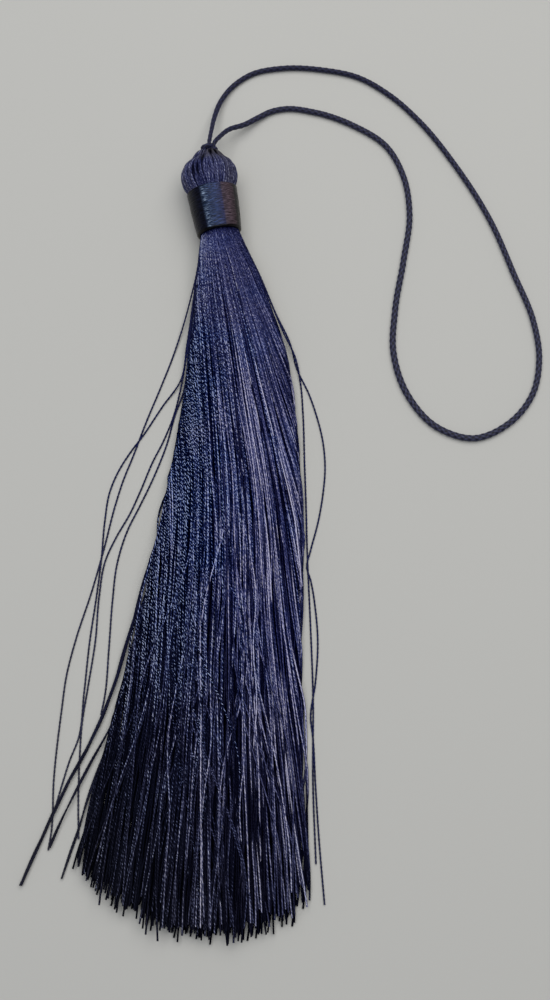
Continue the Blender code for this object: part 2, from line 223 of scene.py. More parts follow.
# %% Colours and nodes
def linear(code):
    """Turns an sRGB hex colour into linear light: each part to the power 2.4 after its small linear foot."""
    parts = np.array([int(code[i:i + 2], 16) for i in (1, 3, 5)]) / 255.0
    light = np.where(parts <= 0.04045, parts / 12.92, ((parts + 0.055) / 1.055) ** 2.4)
    return (*light.tolist(), 1.0)


def add_node(tree, kind, inputs=None, **settings):
    """Adds one node with its settings, and links or fills the inputs that are named."""
    node = tree.nodes.new(kind)
    for name, value in settings.items():
        setattr(node, name, value)
    for socket, value in (inputs or {}).items():
        if isinstance(value, bpy.types.NodeSocket):
            tree.links.new(value, node.inputs[socket])
        else:
            node.inputs[socket].default_value = value
    return node


def new_material(name):
    """Starts a material without any node, and gives the material and its node tree."""
    material = bpy.data.materials.new(name)
    material.use_nodes = True
    material.node_tree.nodes.clear()
    return material, material.node_tree


def read_skin(tree):
    """Reads what every skin carries: its map, its shade, and how much light reaches it."""
    chart = add_node(tree, "ShaderNodeUVMap", uv_map="along")
    shade = add_node(tree, "ShaderNodeAttribute", attribute_name="shade")
    light = add_node(tree, "ShaderNodeAttribute", attribute_name="light")
    return chart.outputs["UV"], shade.outputs["Fac"], light.outputs["Fac"]


def fill_ramp(node, stops):
    """Gives a colour ramp its stops, each a place from 0 to 1 and a hex colour."""
    elements = node.color_ramp.elements
    for element, (place, code) in ((elements[0], stops[0]), (elements[1], stops[-1])):
        element.position, element.color = place, linear(code)
    for place, code in stops[1:-1]:
        elements.new(place).color = linear(code)


# %% A piece's place in the part
def dress(piece, material, slot, *nodes):
    """Gives a piece its material, and sets it on the part in place of the plain solids."""
    piece.data.materials.append(material)
    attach(piece, "root")
    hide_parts(*nodes)
    print(piece.name, "is made of", material.name)


# %% [markdown]
# ## The hanging loop
# The loop is a thin braided cord about a millimetre across. It leaves the top knot, comes down onto the
# table, swings out in one long bend and comes back to the knot. Its real length is what shows: it goes back
# into the object. A braid has half its strands wound one way and half the other, each passing over and under
# in turn, so the surface is a lattice of small raised diamonds. We raise them in the mesh, because the cord
# is seen against a pale table and its outline should be slightly toothed.

# %% The cord's route
CORD_DIAMETER = 1.0 * MM
CORD_LIES = 0.52  # mm from the table to the cord's middle line
CORD_DOWN = (
    (-0.1, 4.2, 4.9), (-0.05, 5.8, 5.35), (0.1, 7.4, 4.7), (0.3, 9.3, 3.7), (0.6, 11.7, 2.5),
    (1.8, 15.9, 1.2), (3.5, 18.6, 0.7))
CORD_ON_TABLE = (
    (7.0, 21.3), (12.5, 22.5), (19.5, 22.2), (25.7, 20.8), (31.5, 17.2), (36.5, 12.3), (42.6, 3.9),
    (48.4, -6.5), (52.0, -16.0), (55.0, -24.5), (55.7, -31.3), (54.4, -37.2), (50.4, -42.2), (44.3, -44.9),
    (38.2, -43.0), (33.3, -37.2), (31.2, -30.2), (31.6, -22.4), (33.2, -13.5), (34.4, -5.0), (33.5, 1.9),
    (30.6, 7.6), (25.0, 11.5), (18.0, 14.1), (12.9, 14.7))
CORD_BACK_UP = (
    (10.4, 14.1, 0.6), (8.4, 12.9, 0.9), (5.9, 11.1, 1.7), (3.3, 9.6, 2.9), (1.8, 7.6, 4.3), (0.8, 5.7, 5.3),
    (0.5, 4.2, 4.9))
CORD_ROUTE = np.array([*CORD_DOWN, *((x, y, CORD_LIES) for x, y in CORD_ON_TABLE), *CORD_BACK_UP]) * MM
CORD_RINGS = 1800
CORD_SIDES = 20

cord_line = smooth_lines(CORD_ROUTE[None], CORD_RINGS)
cord_run = line_lengths(cord_line)
CORD_LENGTH = float(cord_run[0, -1])
print("the cord is", round(CORD_LENGTH * 1000, 1), "mm long")


# %% The braid's relief
BRAID_STRANDS = 4  # wound each way
BRAID_STEP = 1.15 * MM
BRAID_DEPTH = 0.1 * MM


def braid(run, sides, step=BRAID_STEP):
    """Gives the height of a braid, from 0 to 1, at each place along and round a cord.

    Two families of strands wind in opposite directions. Each family's height is a raised cosine across its
    strands, and the product of the two half-rate cosines says which family is on top at a crossing.
    """
    turn = ring_turns(sides)
    forward = BRAID_STRANDS * turn - 2.0 * np.pi * run[..., None] / step
    back = BRAID_STRANDS * turn + 2.0 * np.pi * run[..., None] / step
    over = np.cos(forward / 2.0) * np.cos(back / 2.0)
    ridge_forward = (0.5 + 0.5 * np.cos(forward)) * (0.5 + 0.5 * over)
    ridge_back = (0.5 + 0.5 * np.cos(back)) * (0.5 - 0.5 * over)
    return np.maximum(ridge_forward, ridge_back)


# %% The cord's skin
# The cord is soft, so it lies a little flatter where it takes the outer bend than where it first comes down,
# and the far bend is painted paler: a painted reflection of the pale table. Widths are in diameters; both are
# given at shares of the cord's length.
CORD_SHARES = (0.0, 0.02, 0.05, 0.18, 0.42, 0.62, 0.8, 0.95, 0.98, 1.0)
CORD_WIDTHS = (0.72, 0.74, 0.9, 0.90, 1.02, 1.12, 1.04, 0.98, 0.76, 0.72)
CORD_PAINTED_REFLECTION = (0.0, 0.0, 0.0, 0.0, 0.17, 0.15, 0.11, 0.04, 0.0, 0.0)
BRAID_SUNK = 0.75  # of the braid's height lies inside the cord's own width

cord_share = cord_run / CORD_LENGTH
cord_wide = np.interp(cord_share, CORD_SHARES, CORD_WIDTHS) * CORD_DIAMETER / 2.0
cord_high = np.minimum(CORD_DIAMETER**2 / 4.0 / cord_wide, CORD_DIAMETER / 2.0)
cord_braid = braid(cord_run, CORD_SIDES)
cord_relief = (cord_braid - BRAID_SUNK) * BRAID_DEPTH
cord_rings = sweep(cord_line, TABLE_UP, cord_high[..., None] + cord_relief,
                   cord_wide[..., None] + cord_relief)
loop_cord = skin("loop_cord", cord_rings, cord_run, shades=cord_braid,
                 lights=np.interp(cord_share, CORD_SHARES, CORD_PAINTED_REFLECTION)[..., None])

# %% [markdown]
# ## What the cord is made of
# It is braided viscose, dyed navy so dark that it reads as black in shade. Its filaments are matt compared
# with the skirt's thread, with a soft sheen on the strand that is on top. So the colour is mixed by the
# braid's own height, with painted shade in the grooves, and a fine streak along the strands stands for the
# filaments. Where the cord takes its far bend, a painted reflection of the pale table makes it paler.

# %% Braided viscose cord
VISCOSE_ROUGHNESS = 0.62
# the groove colour is painted shade; the pale one is a painted reflection of the table
VISCOSE_SHADED_GROOVE, VISCOSE_TOP, VISCOSE_PAINTED_REFLECTION, VISCOSE_SHEEN = "#030311", "#2e3056", "#828699", "#8f93d8"
FILAMENT_STREAKS = 9.0  # a real filament is far too fine to show, so the streaks are ten times its size

braided_viscose, tree = new_material("braided_viscose_cord")
chart, height, painted_reflection = read_skin(tree)
streaks = add_node(tree, "ShaderNodeMapping", {"Vector": chart, "Scale": (FILAMENT_STREAKS, 1.6, 1.0)})
fibre = add_node(tree, "ShaderNodeTexNoise", {
    "Vector": streaks.outputs["Vector"], "Scale": 3.0, "Detail": 3.0})
lift = add_node(tree, "ShaderNodeMapRange", {
    "Value": height, "From Min": 0.1, "From Max": 0.95, "To Min": 0.0, "To Max": 1.0})
# painted shade: the lower the braid, the nearer the colour is to the dark groove
shaded_strand_colour = add_node(tree, "ShaderNodeMix", {
    0: lift.outputs["Result"], 6: linear(VISCOSE_SHADED_GROOVE), 7: linear(VISCOSE_TOP)}, data_type="RGBA")
# the painted reflection lies on the raised strands
reflection_on_top = add_node(tree, "ShaderNodeMath", {0: painted_reflection, 1: lift.outputs["Result"]}, operation="MULTIPLY")
reflected_pale = add_node(tree, "ShaderNodeMix", {
    0: reflection_on_top.outputs["Value"], 6: shaded_strand_colour.outputs[2], 7: linear(VISCOSE_PAINTED_REFLECTION)}, data_type="RGBA")
streak = add_node(tree, "ShaderNodeMapRange", {
    "Value": fibre.outputs["Fac"], "From Min": 0.3, "From Max": 0.75, "To Min": 0.7, "To Max": 1.25})
streaked = add_node(tree, "ShaderNodeVectorMath", {
    0: reflected_pale.outputs[2], "Scale": streak.outputs["Result"]}, operation="SCALE")
grain = add_node(tree, "ShaderNodeBump", {
    "Height": fibre.outputs["Fac"], "Distance": 0.04 * MM, "Strength": 0.6})
shader = add_node(tree, "ShaderNodeBsdfPrincipled", {
    "Base Color": streaked.outputs["Vector"], "Roughness": VISCOSE_ROUGHNESS, "IOR": 1.48,
    "Specular IOR Level": 0.3, "Sheen Weight": 0.12, "Sheen Roughness": 0.5,
    "Sheen Tint": linear(VISCOSE_SHEEN), "Normal": grain.outputs["Normal"]})
add_node(tree, "ShaderNodeOutputMaterial", {"Surface": shader.outputs["BSDF"]})

dress(loop_cord, braided_viscose, "cord", "hanging_loop")
print("cord declared, leaving the knot at", CORD_ROUTE[0].tolist())

# %% [markdown]
# ## The head's own directions
# The head leans ten degrees and its neck slopes down to the table, so it is easiest to shape it in directions
# of its own: across it, up out of it, and along it from the crown to the skirt.

# %% Head directions
LEAN, SLOPE = math.radians(10.3), math.radians(4.5)
ACROSS = np.array((math.cos(LEAN), math.sin(LEAN), 0.0))
ALONG = np.array((math.sin(LEAN) * math.cos(SLOPE), -math.cos(LEAN) * math.cos(SLOPE), -math.sin(SLOPE)))
UP = np.cross(ALONG, ACROSS)
HEAD_AXES = np.stack([ACROSS, UP, ALONG])
BALL_CENTRE = np.array((0.0, 0.0, 4.52)) * MM
BALL_RADIUS = 4.75
CROWN_TURN = math.radians(-8.5)


def from_head(local):
    """Turns millimetres across, up and along the head into metres in the part's frame."""
    return np.asarray(local) * MM @ HEAD_AXES + BALL_CENTRE


def turned_crown(local, share=1.0):
    """Turns places about the head's up direction by a share of the crown's lean."""
    angle = CROWN_TURN * np.asarray(share)
    across = local[..., 0] * np.cos(angle) + local[..., 2] * np.sin(angle)
    along = local[..., 2] * np.cos(angle) - local[..., 0] * np.sin(angle)
    return np.stack([across, local[..., 1], along], axis=-1)


print("the crown is at", np.round(from_head(turned_crown(np.array((0.0, 0.0, -BALL_RADIUS)))) / MM, 2), "mm")

# %% [markdown]
# ## The top knot
# The same cord is pulled through the crown and tied in a small tight knot. A trefoil, the simplest knot that
# can't be undone, is a ring that goes round twice while it weaves in and out three times, so one formula
# lays it.

# %% Trefoil
KNOT_ALONG, KNOT_RING, KNOT_LOBE = -4.95, 0.82, 0.36
KNOT_RADIUS = 0.42 * MM
KNOT_STEPS = 240
KNOT_SIDES = 16
KNOT_BRAID_DEPTH = 0.8 * BRAID_DEPTH  # pulled tight, the braid is a little flatter than on the loop
KNOT_BRAID_SUNK = 0.6


def trefoil(t):
    """Goes twice round a ring while its reach grows and shrinks three times and it dips three times."""
    reach = KNOT_RING + KNOT_LOBE * np.cos(3.0 * t)
    return around(reach, 2.0 * t, KNOT_LOBE * np.sin(3.0 * t) + KNOT_ALONG)


knot_line = from_head(turned_crown(trefoil(ring_turns(KNOT_STEPS))))[None]
knot_out = knot_line - knot_line.mean(axis=1, keepdims=True)
knot_run = line_lengths(np.concatenate([knot_line, knot_line[:, :1]], axis=1))
knot_step = knot_run[0, -1] / round(knot_run[0, -1] / BRAID_STEP)
knot_braid = braid(knot_run[:, :-1], KNOT_SIDES, knot_step)
knot_reach = KNOT_RADIUS + (knot_braid - KNOT_BRAID_SUNK) * KNOT_BRAID_DEPTH
knot_cord = skin("knot_cord", sweep(knot_line, knot_out, knot_reach, knot_reach, closed=True), knot_run,
                 closed=True, shades=knot_braid, lights=CORD_PAINTED_REFLECTION[0])
dress(knot_cord, braided_viscose, "cord", "top_knot")

# %% [markdown]
# ## The two-ply thread
# The skirt's thread is viscose rayon: two glossy plies twisted together, about a third of a millimetre thick.
# Each ply shows as a slanting bead of light with a dark groove beside it. The beads are what makes the skirt
# sparkle, and they would cost millions of faces, so the twist is drawn in the material: as a bump, and as
# painted highlights on the beads with painted shade in the grooves. The phase of a wave grows with the way
# round the thread and with the way along it, twice a turn for the two plies.

# %% The twist's wave
PLY_PITCH = 1.4  # mm for one full turn of the twist; a real one is nearer 0.9, too fine to show
SLACK = 1.6  # turns by which the twist runs ahead or behind, because it is never quite even
THREADS_APART = 60.0  # lets threads of different tone have different noise


def ply_wave(tree, chart, tone):
    """Gives a wave round and along a thread, and the place of each point in a noise of the thread's own.

    The wave is the cosine of two full turns for each way round and each pitch along, plus the slack.
    """
    way = add_node(tree, "ShaderNodeSeparateXYZ", {"Vector": chart})
    turns = add_node(tree, "ShaderNodeMath", {0: way.outputs["Y"], 1: 1.0 / PLY_PITCH, 2: way.outputs["X"]},
                     operation="MULTIPLY_ADD")
    number = add_node(tree, "ShaderNodeMath", {0: tone, 1: THREADS_APART}, operation="MULTIPLY")
    beside = add_node(tree, "ShaderNodeCombineXYZ", {"X": number.outputs["Value"], "Y": way.outputs["Y"]})
    slack = add_node(tree, "ShaderNodeTexNoise", {
        "Vector": beside.outputs["Vector"], "Scale": 0.5, "Detail": 1.0})
    uneven_turns = add_node(tree, "ShaderNodeMath", {
        0: slack.outputs["Fac"], 1: SLACK, 2: turns.outputs["Value"]}, operation="MULTIPLY_ADD")
    phase = add_node(tree, "ShaderNodeMath", {
        0: uneven_turns.outputs["Value"], 1: 4.0 * math.pi}, operation="MULTIPLY")
    wave = add_node(tree, "ShaderNodeMath", {0: phase.outputs["Value"]}, operation="COSINE")
    place = add_node(tree, "ShaderNodeCombineXYZ", {
        "X": way.outputs["X"], "Y": way.outputs["Y"], "Z": number.outputs["Value"]})
    return wave.outputs["Value"], place.outputs["Vector"]


# %% The light a thread sends back
BEAD_EDGE, LINE_EDGE = 0.6, -0.8  # the height of the wave at which a ply starts to be lit
BEAD_GROOVE, LINE_GROOVE = 0.03, 0.7  # how bright the groove between the plies is
BEAD_FLECKS = 0.45  # how much fainter the faintest bead is than its line would be


def thread_energy(tree, wave, place, tone, light, beading, flecks):
    """Gives a point's painted light: the light that reaches it, times the wave of its two plies, times a
    speckle.

    The wave paints highlights on the plies and shade in the grooves between them. A tone of 0 parts the light
    into separate beads, a tone of 1 leaves an almost unbroken line; beading says how strongly. The speckle
    makes some painted beads brighter than others, and flecks says how far it goes from 1 both ways.
    """
    narrow = add_node(tree, "ShaderNodeMapRange", {
        "Value": tone, "To Min": LINE_EDGE + (BEAD_EDGE - LINE_EDGE) * beading, "To Max": LINE_EDGE})
    groove = add_node(tree, "ShaderNodeMapRange", {
        "Value": tone, "To Min": LINE_GROOVE + (BEAD_GROOVE - LINE_GROOVE) * beading, "To Max": LINE_GROOVE})
    ply = add_node(tree, "ShaderNodeMapRange", {
        "Value": wave, "From Min": narrow.outputs["Result"], "From Max": 0.9,
        "To Min": groove.outputs["Result"], "To Max": 1.0})
    speckle = add_node(tree, "ShaderNodeTexNoise", {"Vector": place, "Scale": 1.3, "Detail": 1.0})
    faintest = add_node(tree, "ShaderNodeMapRange", {
        "Value": tone, "To Min": 1.0 - flecks - BEAD_FLECKS * beading, "To Max": 1.0 - flecks})
    fleck = add_node(tree, "ShaderNodeMapRange", {
        "Value": speckle.outputs["Fac"], "From Min": 0.36, "From Max": 0.66,
        "To Min": faintest.outputs["Result"], "To Max": 1.0 + flecks})
    beads = add_node(tree, "ShaderNodeMath", {0: ply.outputs["Result"], 1: fleck.outputs["Result"]},
                     operation="MULTIPLY")
    energy = add_node(tree, "ShaderNodeMath", {0: beads.outputs["Value"], 1: light}, operation="MULTIPLY")
    return energy.outputs["Value"]


# %% The dye of a thread
# each ramp follows the painted light: painted shade near black at 0, navy between, a painted highlight at 1
BLUE_DYE_IN_PAINTED_LIGHT = ((0.0, "#000319"), (0.16, "#020c3a"), (0.38, "#0f2766"), (0.66, "#375498"), (1.0, "#98addf"))
GREY_DYE_IN_PAINTED_LIGHT = ((0.0, "#000010"), (0.16, "#080a30"), (0.38, "#272e61"), (0.66, "#5d6093"), (1.0, "#bab9d8"))
HEAD_DYES_IN_PAINTED_LIGHT = (((0.0, "#02030d"), (0.16, "#0b0e2b"), (0.38, "#262b57"), (0.66, "#545984"), (1.0, "#a4a9cb")),
             ((0.0, "#030306"), (0.16, "#141318"), (0.38, "#3d3b41"), (0.66, "#6f6b70"), (1.0, "#b4b0b2")))
PATCHINESS = 1.6  # how far patches of the skirt, some seven millimetres across, go to one dye or the other
TO_THE_RIGHT = (1.2, 1.0, 0.0)  # the dye fades away from here, along a slant from the neck to the hem's left
FADE_FROM, FADE_TO = -65.0 * MM, -140.0 * MM


def painted_thread_colour(tree, energy, tone, ramps_in_painted_light):
    """Gives the colour that the painted light picks: black in painted shade, over navy, to a painted highlight
    of pale lilac.

    The tone mixes two such ramps of dye in painted light, a bluer and a greyer one, with patches where the
    mixture is uneven. The dye is weaker towards the left of the hem.
    """
    position = add_node(tree, "ShaderNodeTexCoord")
    patches = add_node(tree, "ShaderNodeTexNoise", {
        "Vector": position.outputs["Object"], "Scale": 150.0, "Detail": 2.0})
    mixture = add_node(tree, "ShaderNodeMath", {
        0: patches.outputs["Fac"], 1: PATCHINESS, 2: -PATCHINESS / 2.0}, operation="MULTIPLY_ADD")
    blend = add_node(tree, "ShaderNodeMath", {0: tone, 1: mixture.outputs["Value"]},
                     operation="ADD", use_clamp=True)
    blue = add_node(tree, "ShaderNodeValToRGB", {"Fac": energy})
    grey = add_node(tree, "ShaderNodeValToRGB", {"Fac": energy})
    for ramp, dye in zip((blue, grey), ramps_in_painted_light):
        fill_ramp(ramp, dye)
    colour = add_node(tree, "ShaderNodeMix", {
        0: blend.outputs["Value"], 6: blue.outputs["Color"], 7: grey.outputs["Color"]}, data_type="RGBA")
    downward = add_node(tree, "ShaderNodeVectorMath", {0: position.outputs["Object"], 1: TO_THE_RIGHT},
                        operation="DOT_PRODUCT")
    fade = add_node(tree, "ShaderNodeMapRange", {
        "Value": downward.outputs["Value"], "From Min": FADE_FROM, "From Max": FADE_TO,
        "To Min": 1.0, "To Max": 0.5})
    faded = add_node(tree, "ShaderNodeHueSaturation", {
        "Color": colour.outputs[2], "Saturation": fade.outputs["Result"]})
    return faded.outputs["Color"]


# %% Rayon thread
THREAD_ROUGHNESS = 0.34
GLOSS_IN_PAINTED_LIGHT = 0.3  # the specular level follows the painted light, so threads in painted shade shine less


def rayon_thread(name, beading, flecks, depth, ramps_in_painted_light=(BLUE_DYE_IN_PAINTED_LIGHT, GREY_DYE_IN_PAINTED_LIGHT)):
    """Builds the thread's finish: its dye in painted light, with painted highlights and shade, its gloss,
    dimmed where the painted light is low, and the bump of its twist, a few hundredths deep.
    """
    material, tree = new_material(name)
    chart, tone, light = read_skin(tree)
    wave, place = ply_wave(tree, chart, tone)
    energy = thread_energy(tree, wave, place, tone, light, beading, flecks)
    gloss = add_node(tree, "ShaderNodeMath", {0: energy, 1: GLOSS_IN_PAINTED_LIGHT}, operation="MULTIPLY")
    twist = add_node(tree, "ShaderNodeBump", {"Height": wave, "Distance": depth, "Strength": 1.0})
    shader = add_node(tree, "ShaderNodeBsdfPrincipled", {
        "Base Color": painted_thread_colour(tree, energy, tone, ramps_in_painted_light), "Roughness": THREAD_ROUGHNESS, "IOR": 1.5,
        "Specular IOR Level": gloss.outputs["Value"], "Normal": twist.outputs["Normal"]})
    add_node(tree, "ShaderNodeOutputMaterial", {"Surface": shader.outputs["BSDF"]})
    print(name, "has", len(tree.nodes), "nodes")
    return material


skirt_rayon = rayon_thread("twisted_rayon_skirt_thread", 1.0, 0.3, 0.03 * MM)
head_rayon = rayon_thread("combed_rayon_head_thread", 0.12, 0.2, 0.01 * MM, HEAD_DYES_IN_PAINTED_LIGHT)

# %% [markdown]
# ## The head
# The threads are gathered over a ball: they fan out from the knot, run over the widest part and go under the
# band. Near the crown there are more threads than room, so they fold into pleats with dark slits between. The
# ball under them is one surface in painted shade, dark where it shows through the slits, a function of the
# angle from the crown and the angle round it, and the threads follow the same pleats just above it.

# %% Pleats
PLEAT_EDGES = np.radians((
    -20.0, 14.0, 36.0, 56.0, 78.0, 96.0, 112.0, 122.0, 141.0, 166.0, 200.0, 236.0, 272.0, 308.0, 340.0))
PLEAT_DEPTH = 0.42
PLEAT_ROUND = 0.7  # the power of the sine across a pleat; less makes it broader on top


def pleat_share(turn):
    """Gives how far across its pleat each angle round the head lies, from 0 at one edge to 1 at the next."""
    wrapped = np.mod(turn - PLEAT_EDGES[0], 2.0 * np.pi) + PLEAT_EDGES[0]
    edge = np.interp(wrapped, PLEAT_EDGES, np.arange(len(PLEAT_EDGES)))
    return edge - np.floor(edge)


def pleat_profile(turn):
    """Gives a pleat's height, from 0 at its edges to 1: a half sine across it, raised to a power."""
    return np.abs(np.sin(np.pi * pleat_share(turn))) ** PLEAT_ROUND


def pleat_height(turn, polar):
    """Pleats stand out above their own mean height, most a little way down, and fade towards the band."""
    fade = fade_in(polar, 0.0, math.radians(14.0)) * bell(polar, 0.0, math.radians(62.0))
    return PLEAT_DEPTH * fade * (pleat_profile(turn) - 0.6)


# %% Slits between the pleats
# All in degrees: where a slit is, its half width and half height, and how far it pushes threads aside
Slit = namedtuple("Slit", "turn polar wide tall push")
SLITS = (
    Slit(124.0, 85.0, 3.2, 19.0, 4.0), Slit(113.0, 90.0, 2.8, 16.0, 3.5), Slit(102.0, 60.0, 3.6, 19.0, 4.5),
    Slit(134.0, 52.0, 4.0, 14.0, 2.5), Slit(78.0, 34.0, 6.0, 12.0, 3.5), Slit(56.0, 30.0, 6.0, 12.0, 3.0),
    Slit(250.0, 60.0, 6.0, 18.0, 4.0), Slit(310.0, 55.0, 6.0, 16.0, 4.0))


def slit_opening(turn, polar):
    """Gives how far threads are pushed round, away from each slit, and how near a slit they are.

    Each slit is a bell across it and down it; the push points away from its middle on both sides.
    """
    push = near = np.zeros(np.broadcast(turn, polar).shape)
    for slit in SLITS:
        away = np.degrees(np.mod(turn - math.radians(slit.turn) + np.pi, 2.0 * np.pi) - np.pi)
        inside = bell(away, 0.0, slit.wide) * bell(np.degrees(polar), slit.polar, slit.tall)
        push = push + math.radians(slit.push) * np.tanh(away / 1.5) * inside
        near = np.maximum(near, inside)
    return push, near


# %% The ball under the threads
HEAD_END_POLAR = math.radians(111.0)
SHOULDER_DENT, SHOULDER_TILT = 0.6, 0.12  # mm the gathered threads pull in above the widest part
SHOULDER_AT, SHOULDER_SPAN = math.radians(45.0), math.radians(20.0)
DIMPLE_DEPTH, DIMPLE_SPAN = 0.55, math.radians(11.0)  # the knot presses it into the crown


def ball(turn, polar, lift):
    """A ball, pulled in at the shoulder and dimpled at the crown, in sines and cosines of its two angles."""
    shoulder = (SHOULDER_DENT - SHOULDER_TILT * np.cos(turn)) * bell(polar, SHOULDER_AT, SHOULDER_SPAN)
    radius = BALL_RADIUS + pleat_height(turn, polar) + lift - shoulder
    along = -radius * np.cos(polar) + DIMPLE_DEPTH * bell(polar, 0.0, DIMPLE_SPAN)
    local = around(radius * np.sin(polar), turn, along)
    return turned_crown(local, np.maximum(0.0, 1.0 - np.degrees(polar) / 100.0))


CORE_AROUND, CORE_DOWN = 144, 56
CORE_SUNK = 0.2
CORE_NECK = ((4.0, 1.9), (3.7, 2.3), (3.0, 9.7))  # radii, and places along the neck
core_turn = ring_turns(CORE_AROUND)
core_polar = np.linspace(0.02, HEAD_END_POLAR, CORE_DOWN)[:, None]
neck_rings = [around(radius, core_turn, along) for radius, along in CORE_NECK]
core = from_head(np.concatenate([ball(core_turn, core_polar, -CORE_SUNK), np.stack(neck_rings)]))[None]
core = over_table(core, 0.02 * MM)
# painted shade: the core gets little light, so it shows dark through the slits
head_core = skin("head_core", core, line_lengths(core[:, :, 0]), shades=0.1, lights=0.12)
dress(head_core, head_rayon, "thread", "thread_skirt")

# %% Where the gathered threads run
HEAD_THREADS = 168
HEAD_STEPS = 34
HEAD_SIDES = 6
HEAD_THREAD_RADIUS = 0.155
SWAY = 0.02  # radians, growing towards the band
PLEAT_PULL, PLEAT_WIDTH = 0.35, 0.35  # how strongly pleats draw their threads in; their width in radians
LIFT_SPREAD, RIPPLE = 0.05, 0.02  # mm by which threads lie higher or lower, and by which each one waves
ANY_PHASE = 6.3  # about a full turn
TUCKED_IN = ((4.02, 2.05), (3.75, 2.7))  # radii, and places along the neck, under the band
rng = np.random.default_rng(11)

polar = np.linspace(math.radians(9.0), HEAD_END_POLAR, HEAD_STEPS)
start = (np.arange(HEAD_THREADS) + 0.5 + rng.normal(0.0, 0.3, HEAD_THREADS)) / HEAD_THREADS * 2 * np.pi
start = start[:, None]
sway = SWAY * np.sin(polar * 5.0 + rng.uniform(0, ANY_PHASE, start.shape)) * (polar / 1.6)
to_pleat = PLEAT_PULL * bell(polar, 0.0, math.radians(48.0)) * (0.5 - pleat_share(start)) * PLEAT_WIDTH
push, near_slit = slit_opening(start, polar)
turn = start + sway + to_pleat + push
lift = rng.normal(0.0, LIFT_SPREAD, start.shape)
lift = lift + RIPPLE * np.sin(polar * 9.0 + rng.uniform(0, ANY_PHASE, start.shape))
tucked = [around(radius, turn[:, -1], along) for radius, along in TUCKED_IN]
over_ball = ball(turn, polar, lift - HEAD_THREAD_RADIUS)
head_lines = from_head(np.concatenate([over_ball, np.stack(tucked, axis=1)], axis=1))
head_lines = over_table(head_lines, HEAD_THREAD_RADIUS * MM)
print(HEAD_THREADS, "threads, the longest", round(line_lengths(head_lines).max() / MM, 1), "mm")

# %% Light and tone of the gathered threads
# Pleats and slits shade the threads in them, and the knot shades the crown. The left flank is a quarter
# lighter than the top. The window is at the upper right, where the tone is greyer too.
FOLD_SHADE, SLIT_SHADE = 0.75, 0.8
HEAD_FLANK_LIGHT = 0.2

fold = bell(polar, 0.0, math.radians(58.0)) * (1.0 - pleat_profile(turn))
own_light = np.exp(rng.normal(-0.5, 0.2, start.shape))
own_light = own_light * (1.0 + 0.1 * np.cos(start) ** 2 - 0.15 * np.cos(start))
window_side = 1.0 + 0.3 * bell(np.degrees(turn), 48.0, 32.0) * fade_in(polar, 0.6, 0.6)
crown_shade = fade_in(polar, 0.0, 0.45, low=0.3)
head_light = own_light * (1.0 - FOLD_SHADE * fold) * (1.0 - SLIT_SHADE * near_slit)
head_light = head_light * crown_shade * window_side
head_tone = bell(np.degrees(turn), 55.0, 45.0) * np.clip(1.35 - polar / math.radians(60.0), 0.0, 1.2)
head_tone = np.clip(0.15 + head_tone + rng.normal(0.0, 0.12, start.shape), 0.0, 1.0)
head_flank = HEAD_FLANK_LIGHT + (1.0 - HEAD_FLANK_LIGHT) * np.clip(np.cos(ring_turns(HEAD_SIDES)), 0.0, 1.0)

# %% The gathered threads
step = np.minimum(np.arange(head_lines.shape[1]), HEAD_STEPS - 1)  # the tucked rings take after the last one
slim = np.clip(0.45 + polar / 1.2, 0.0, 1.0)[step]
head_reach = (HEAD_THREAD_RADIUS * MM * slim)[None, :, None] * np.ones(HEAD_SIDES)
head_run = line_lengths(head_lines) + rng.uniform(0, 1, start.shape) * MM
head_rings = sweep(head_lines, head_lines - BALL_CENTRE, head_reach, head_reach)
head_threads = skin("head_threads", head_rings, head_run,
                    shades=head_tone[:, step, None], lights=head_light[:, step, None] * head_flank)
dress(head_threads, head_rayon, "thread", "thread_skirt")

# %% [markdown]
# ## The neck binding
# A finer, flatter strand of the same rayon is wound tightly round the neck about forty times. It is satin:
# every turn is a narrow ridge that catches the light as a short arc. The turns are real ridges in the mesh,
# because the band's own outline shows them, and they wander a little, as hand winding does.

# %% The winding
BAND_START, BAND_END = 2.55, 10.2
BAND_TOP, BAND_FOOT, BAND_CROWN = 4.28, 3.76, 0.08
BORE = ((BAND_START, 3.95), (BAND_START, 3.72), (BAND_END, 3.3), (BAND_END, 3.38))  # along, and radius
WIND_PITCH = 0.2
WIND_DEPTH = 0.055
EDGE_DROP, EDGE_SPAN = 0.2, 1.0 / 40.0  # the band's two edges are rounded: mm, and a share of its length
BAND_AROUND, BAND_ROWS = 150, 236

rng = np.random.default_rng(5)
band_turn = ring_turns(BAND_AROUND)[:, None]
band_down = np.linspace(1.0, 0.0, BAND_ROWS)[None]
band_along = BAND_START + (BAND_END - BAND_START) * band_down
wobble = sum(
    rng.normal(0.0, 0.6)
    * np.sin(waves * band_turn + band_along * rng.uniform(0.5, 3.0) + rng.uniform(0, ANY_PHASE))
    for waves in (1, 2, 3, 5, 7))
wind_phase = band_along / WIND_PITCH + band_turn / (2.0 * np.pi) + wobble
uneven = 0.75 + 0.25 * np.sin(np.floor(wind_phase) * 2.4)
ridge = np.sqrt(np.abs(np.sin(np.pi * wind_phase))) * uneven
from_edge = np.minimum(band_down, 1.0 - band_down)
rounded = EDGE_DROP * (1.0 - np.minimum(1.0, from_edge / EDGE_SPAN)) ** 2
band_radius = (BAND_TOP + (BAND_FOOT - BAND_TOP) * band_down + BAND_CROWN * np.sin(np.pi * band_down)
               + WIND_DEPTH * (ridge - 0.5) - rounded)
print("the winding takes", round((BAND_END - BAND_START) / WIND_PITCH), "turns")


# %% The band's skin
def with_bore(outside, inside):
    """Adds the bore's own numbers to the rows outside, the same all the way round."""
    return np.concatenate([np.broadcast_to(outside, ridge.shape), np.tile(inside, (BAND_AROUND, 1))], axis=1)


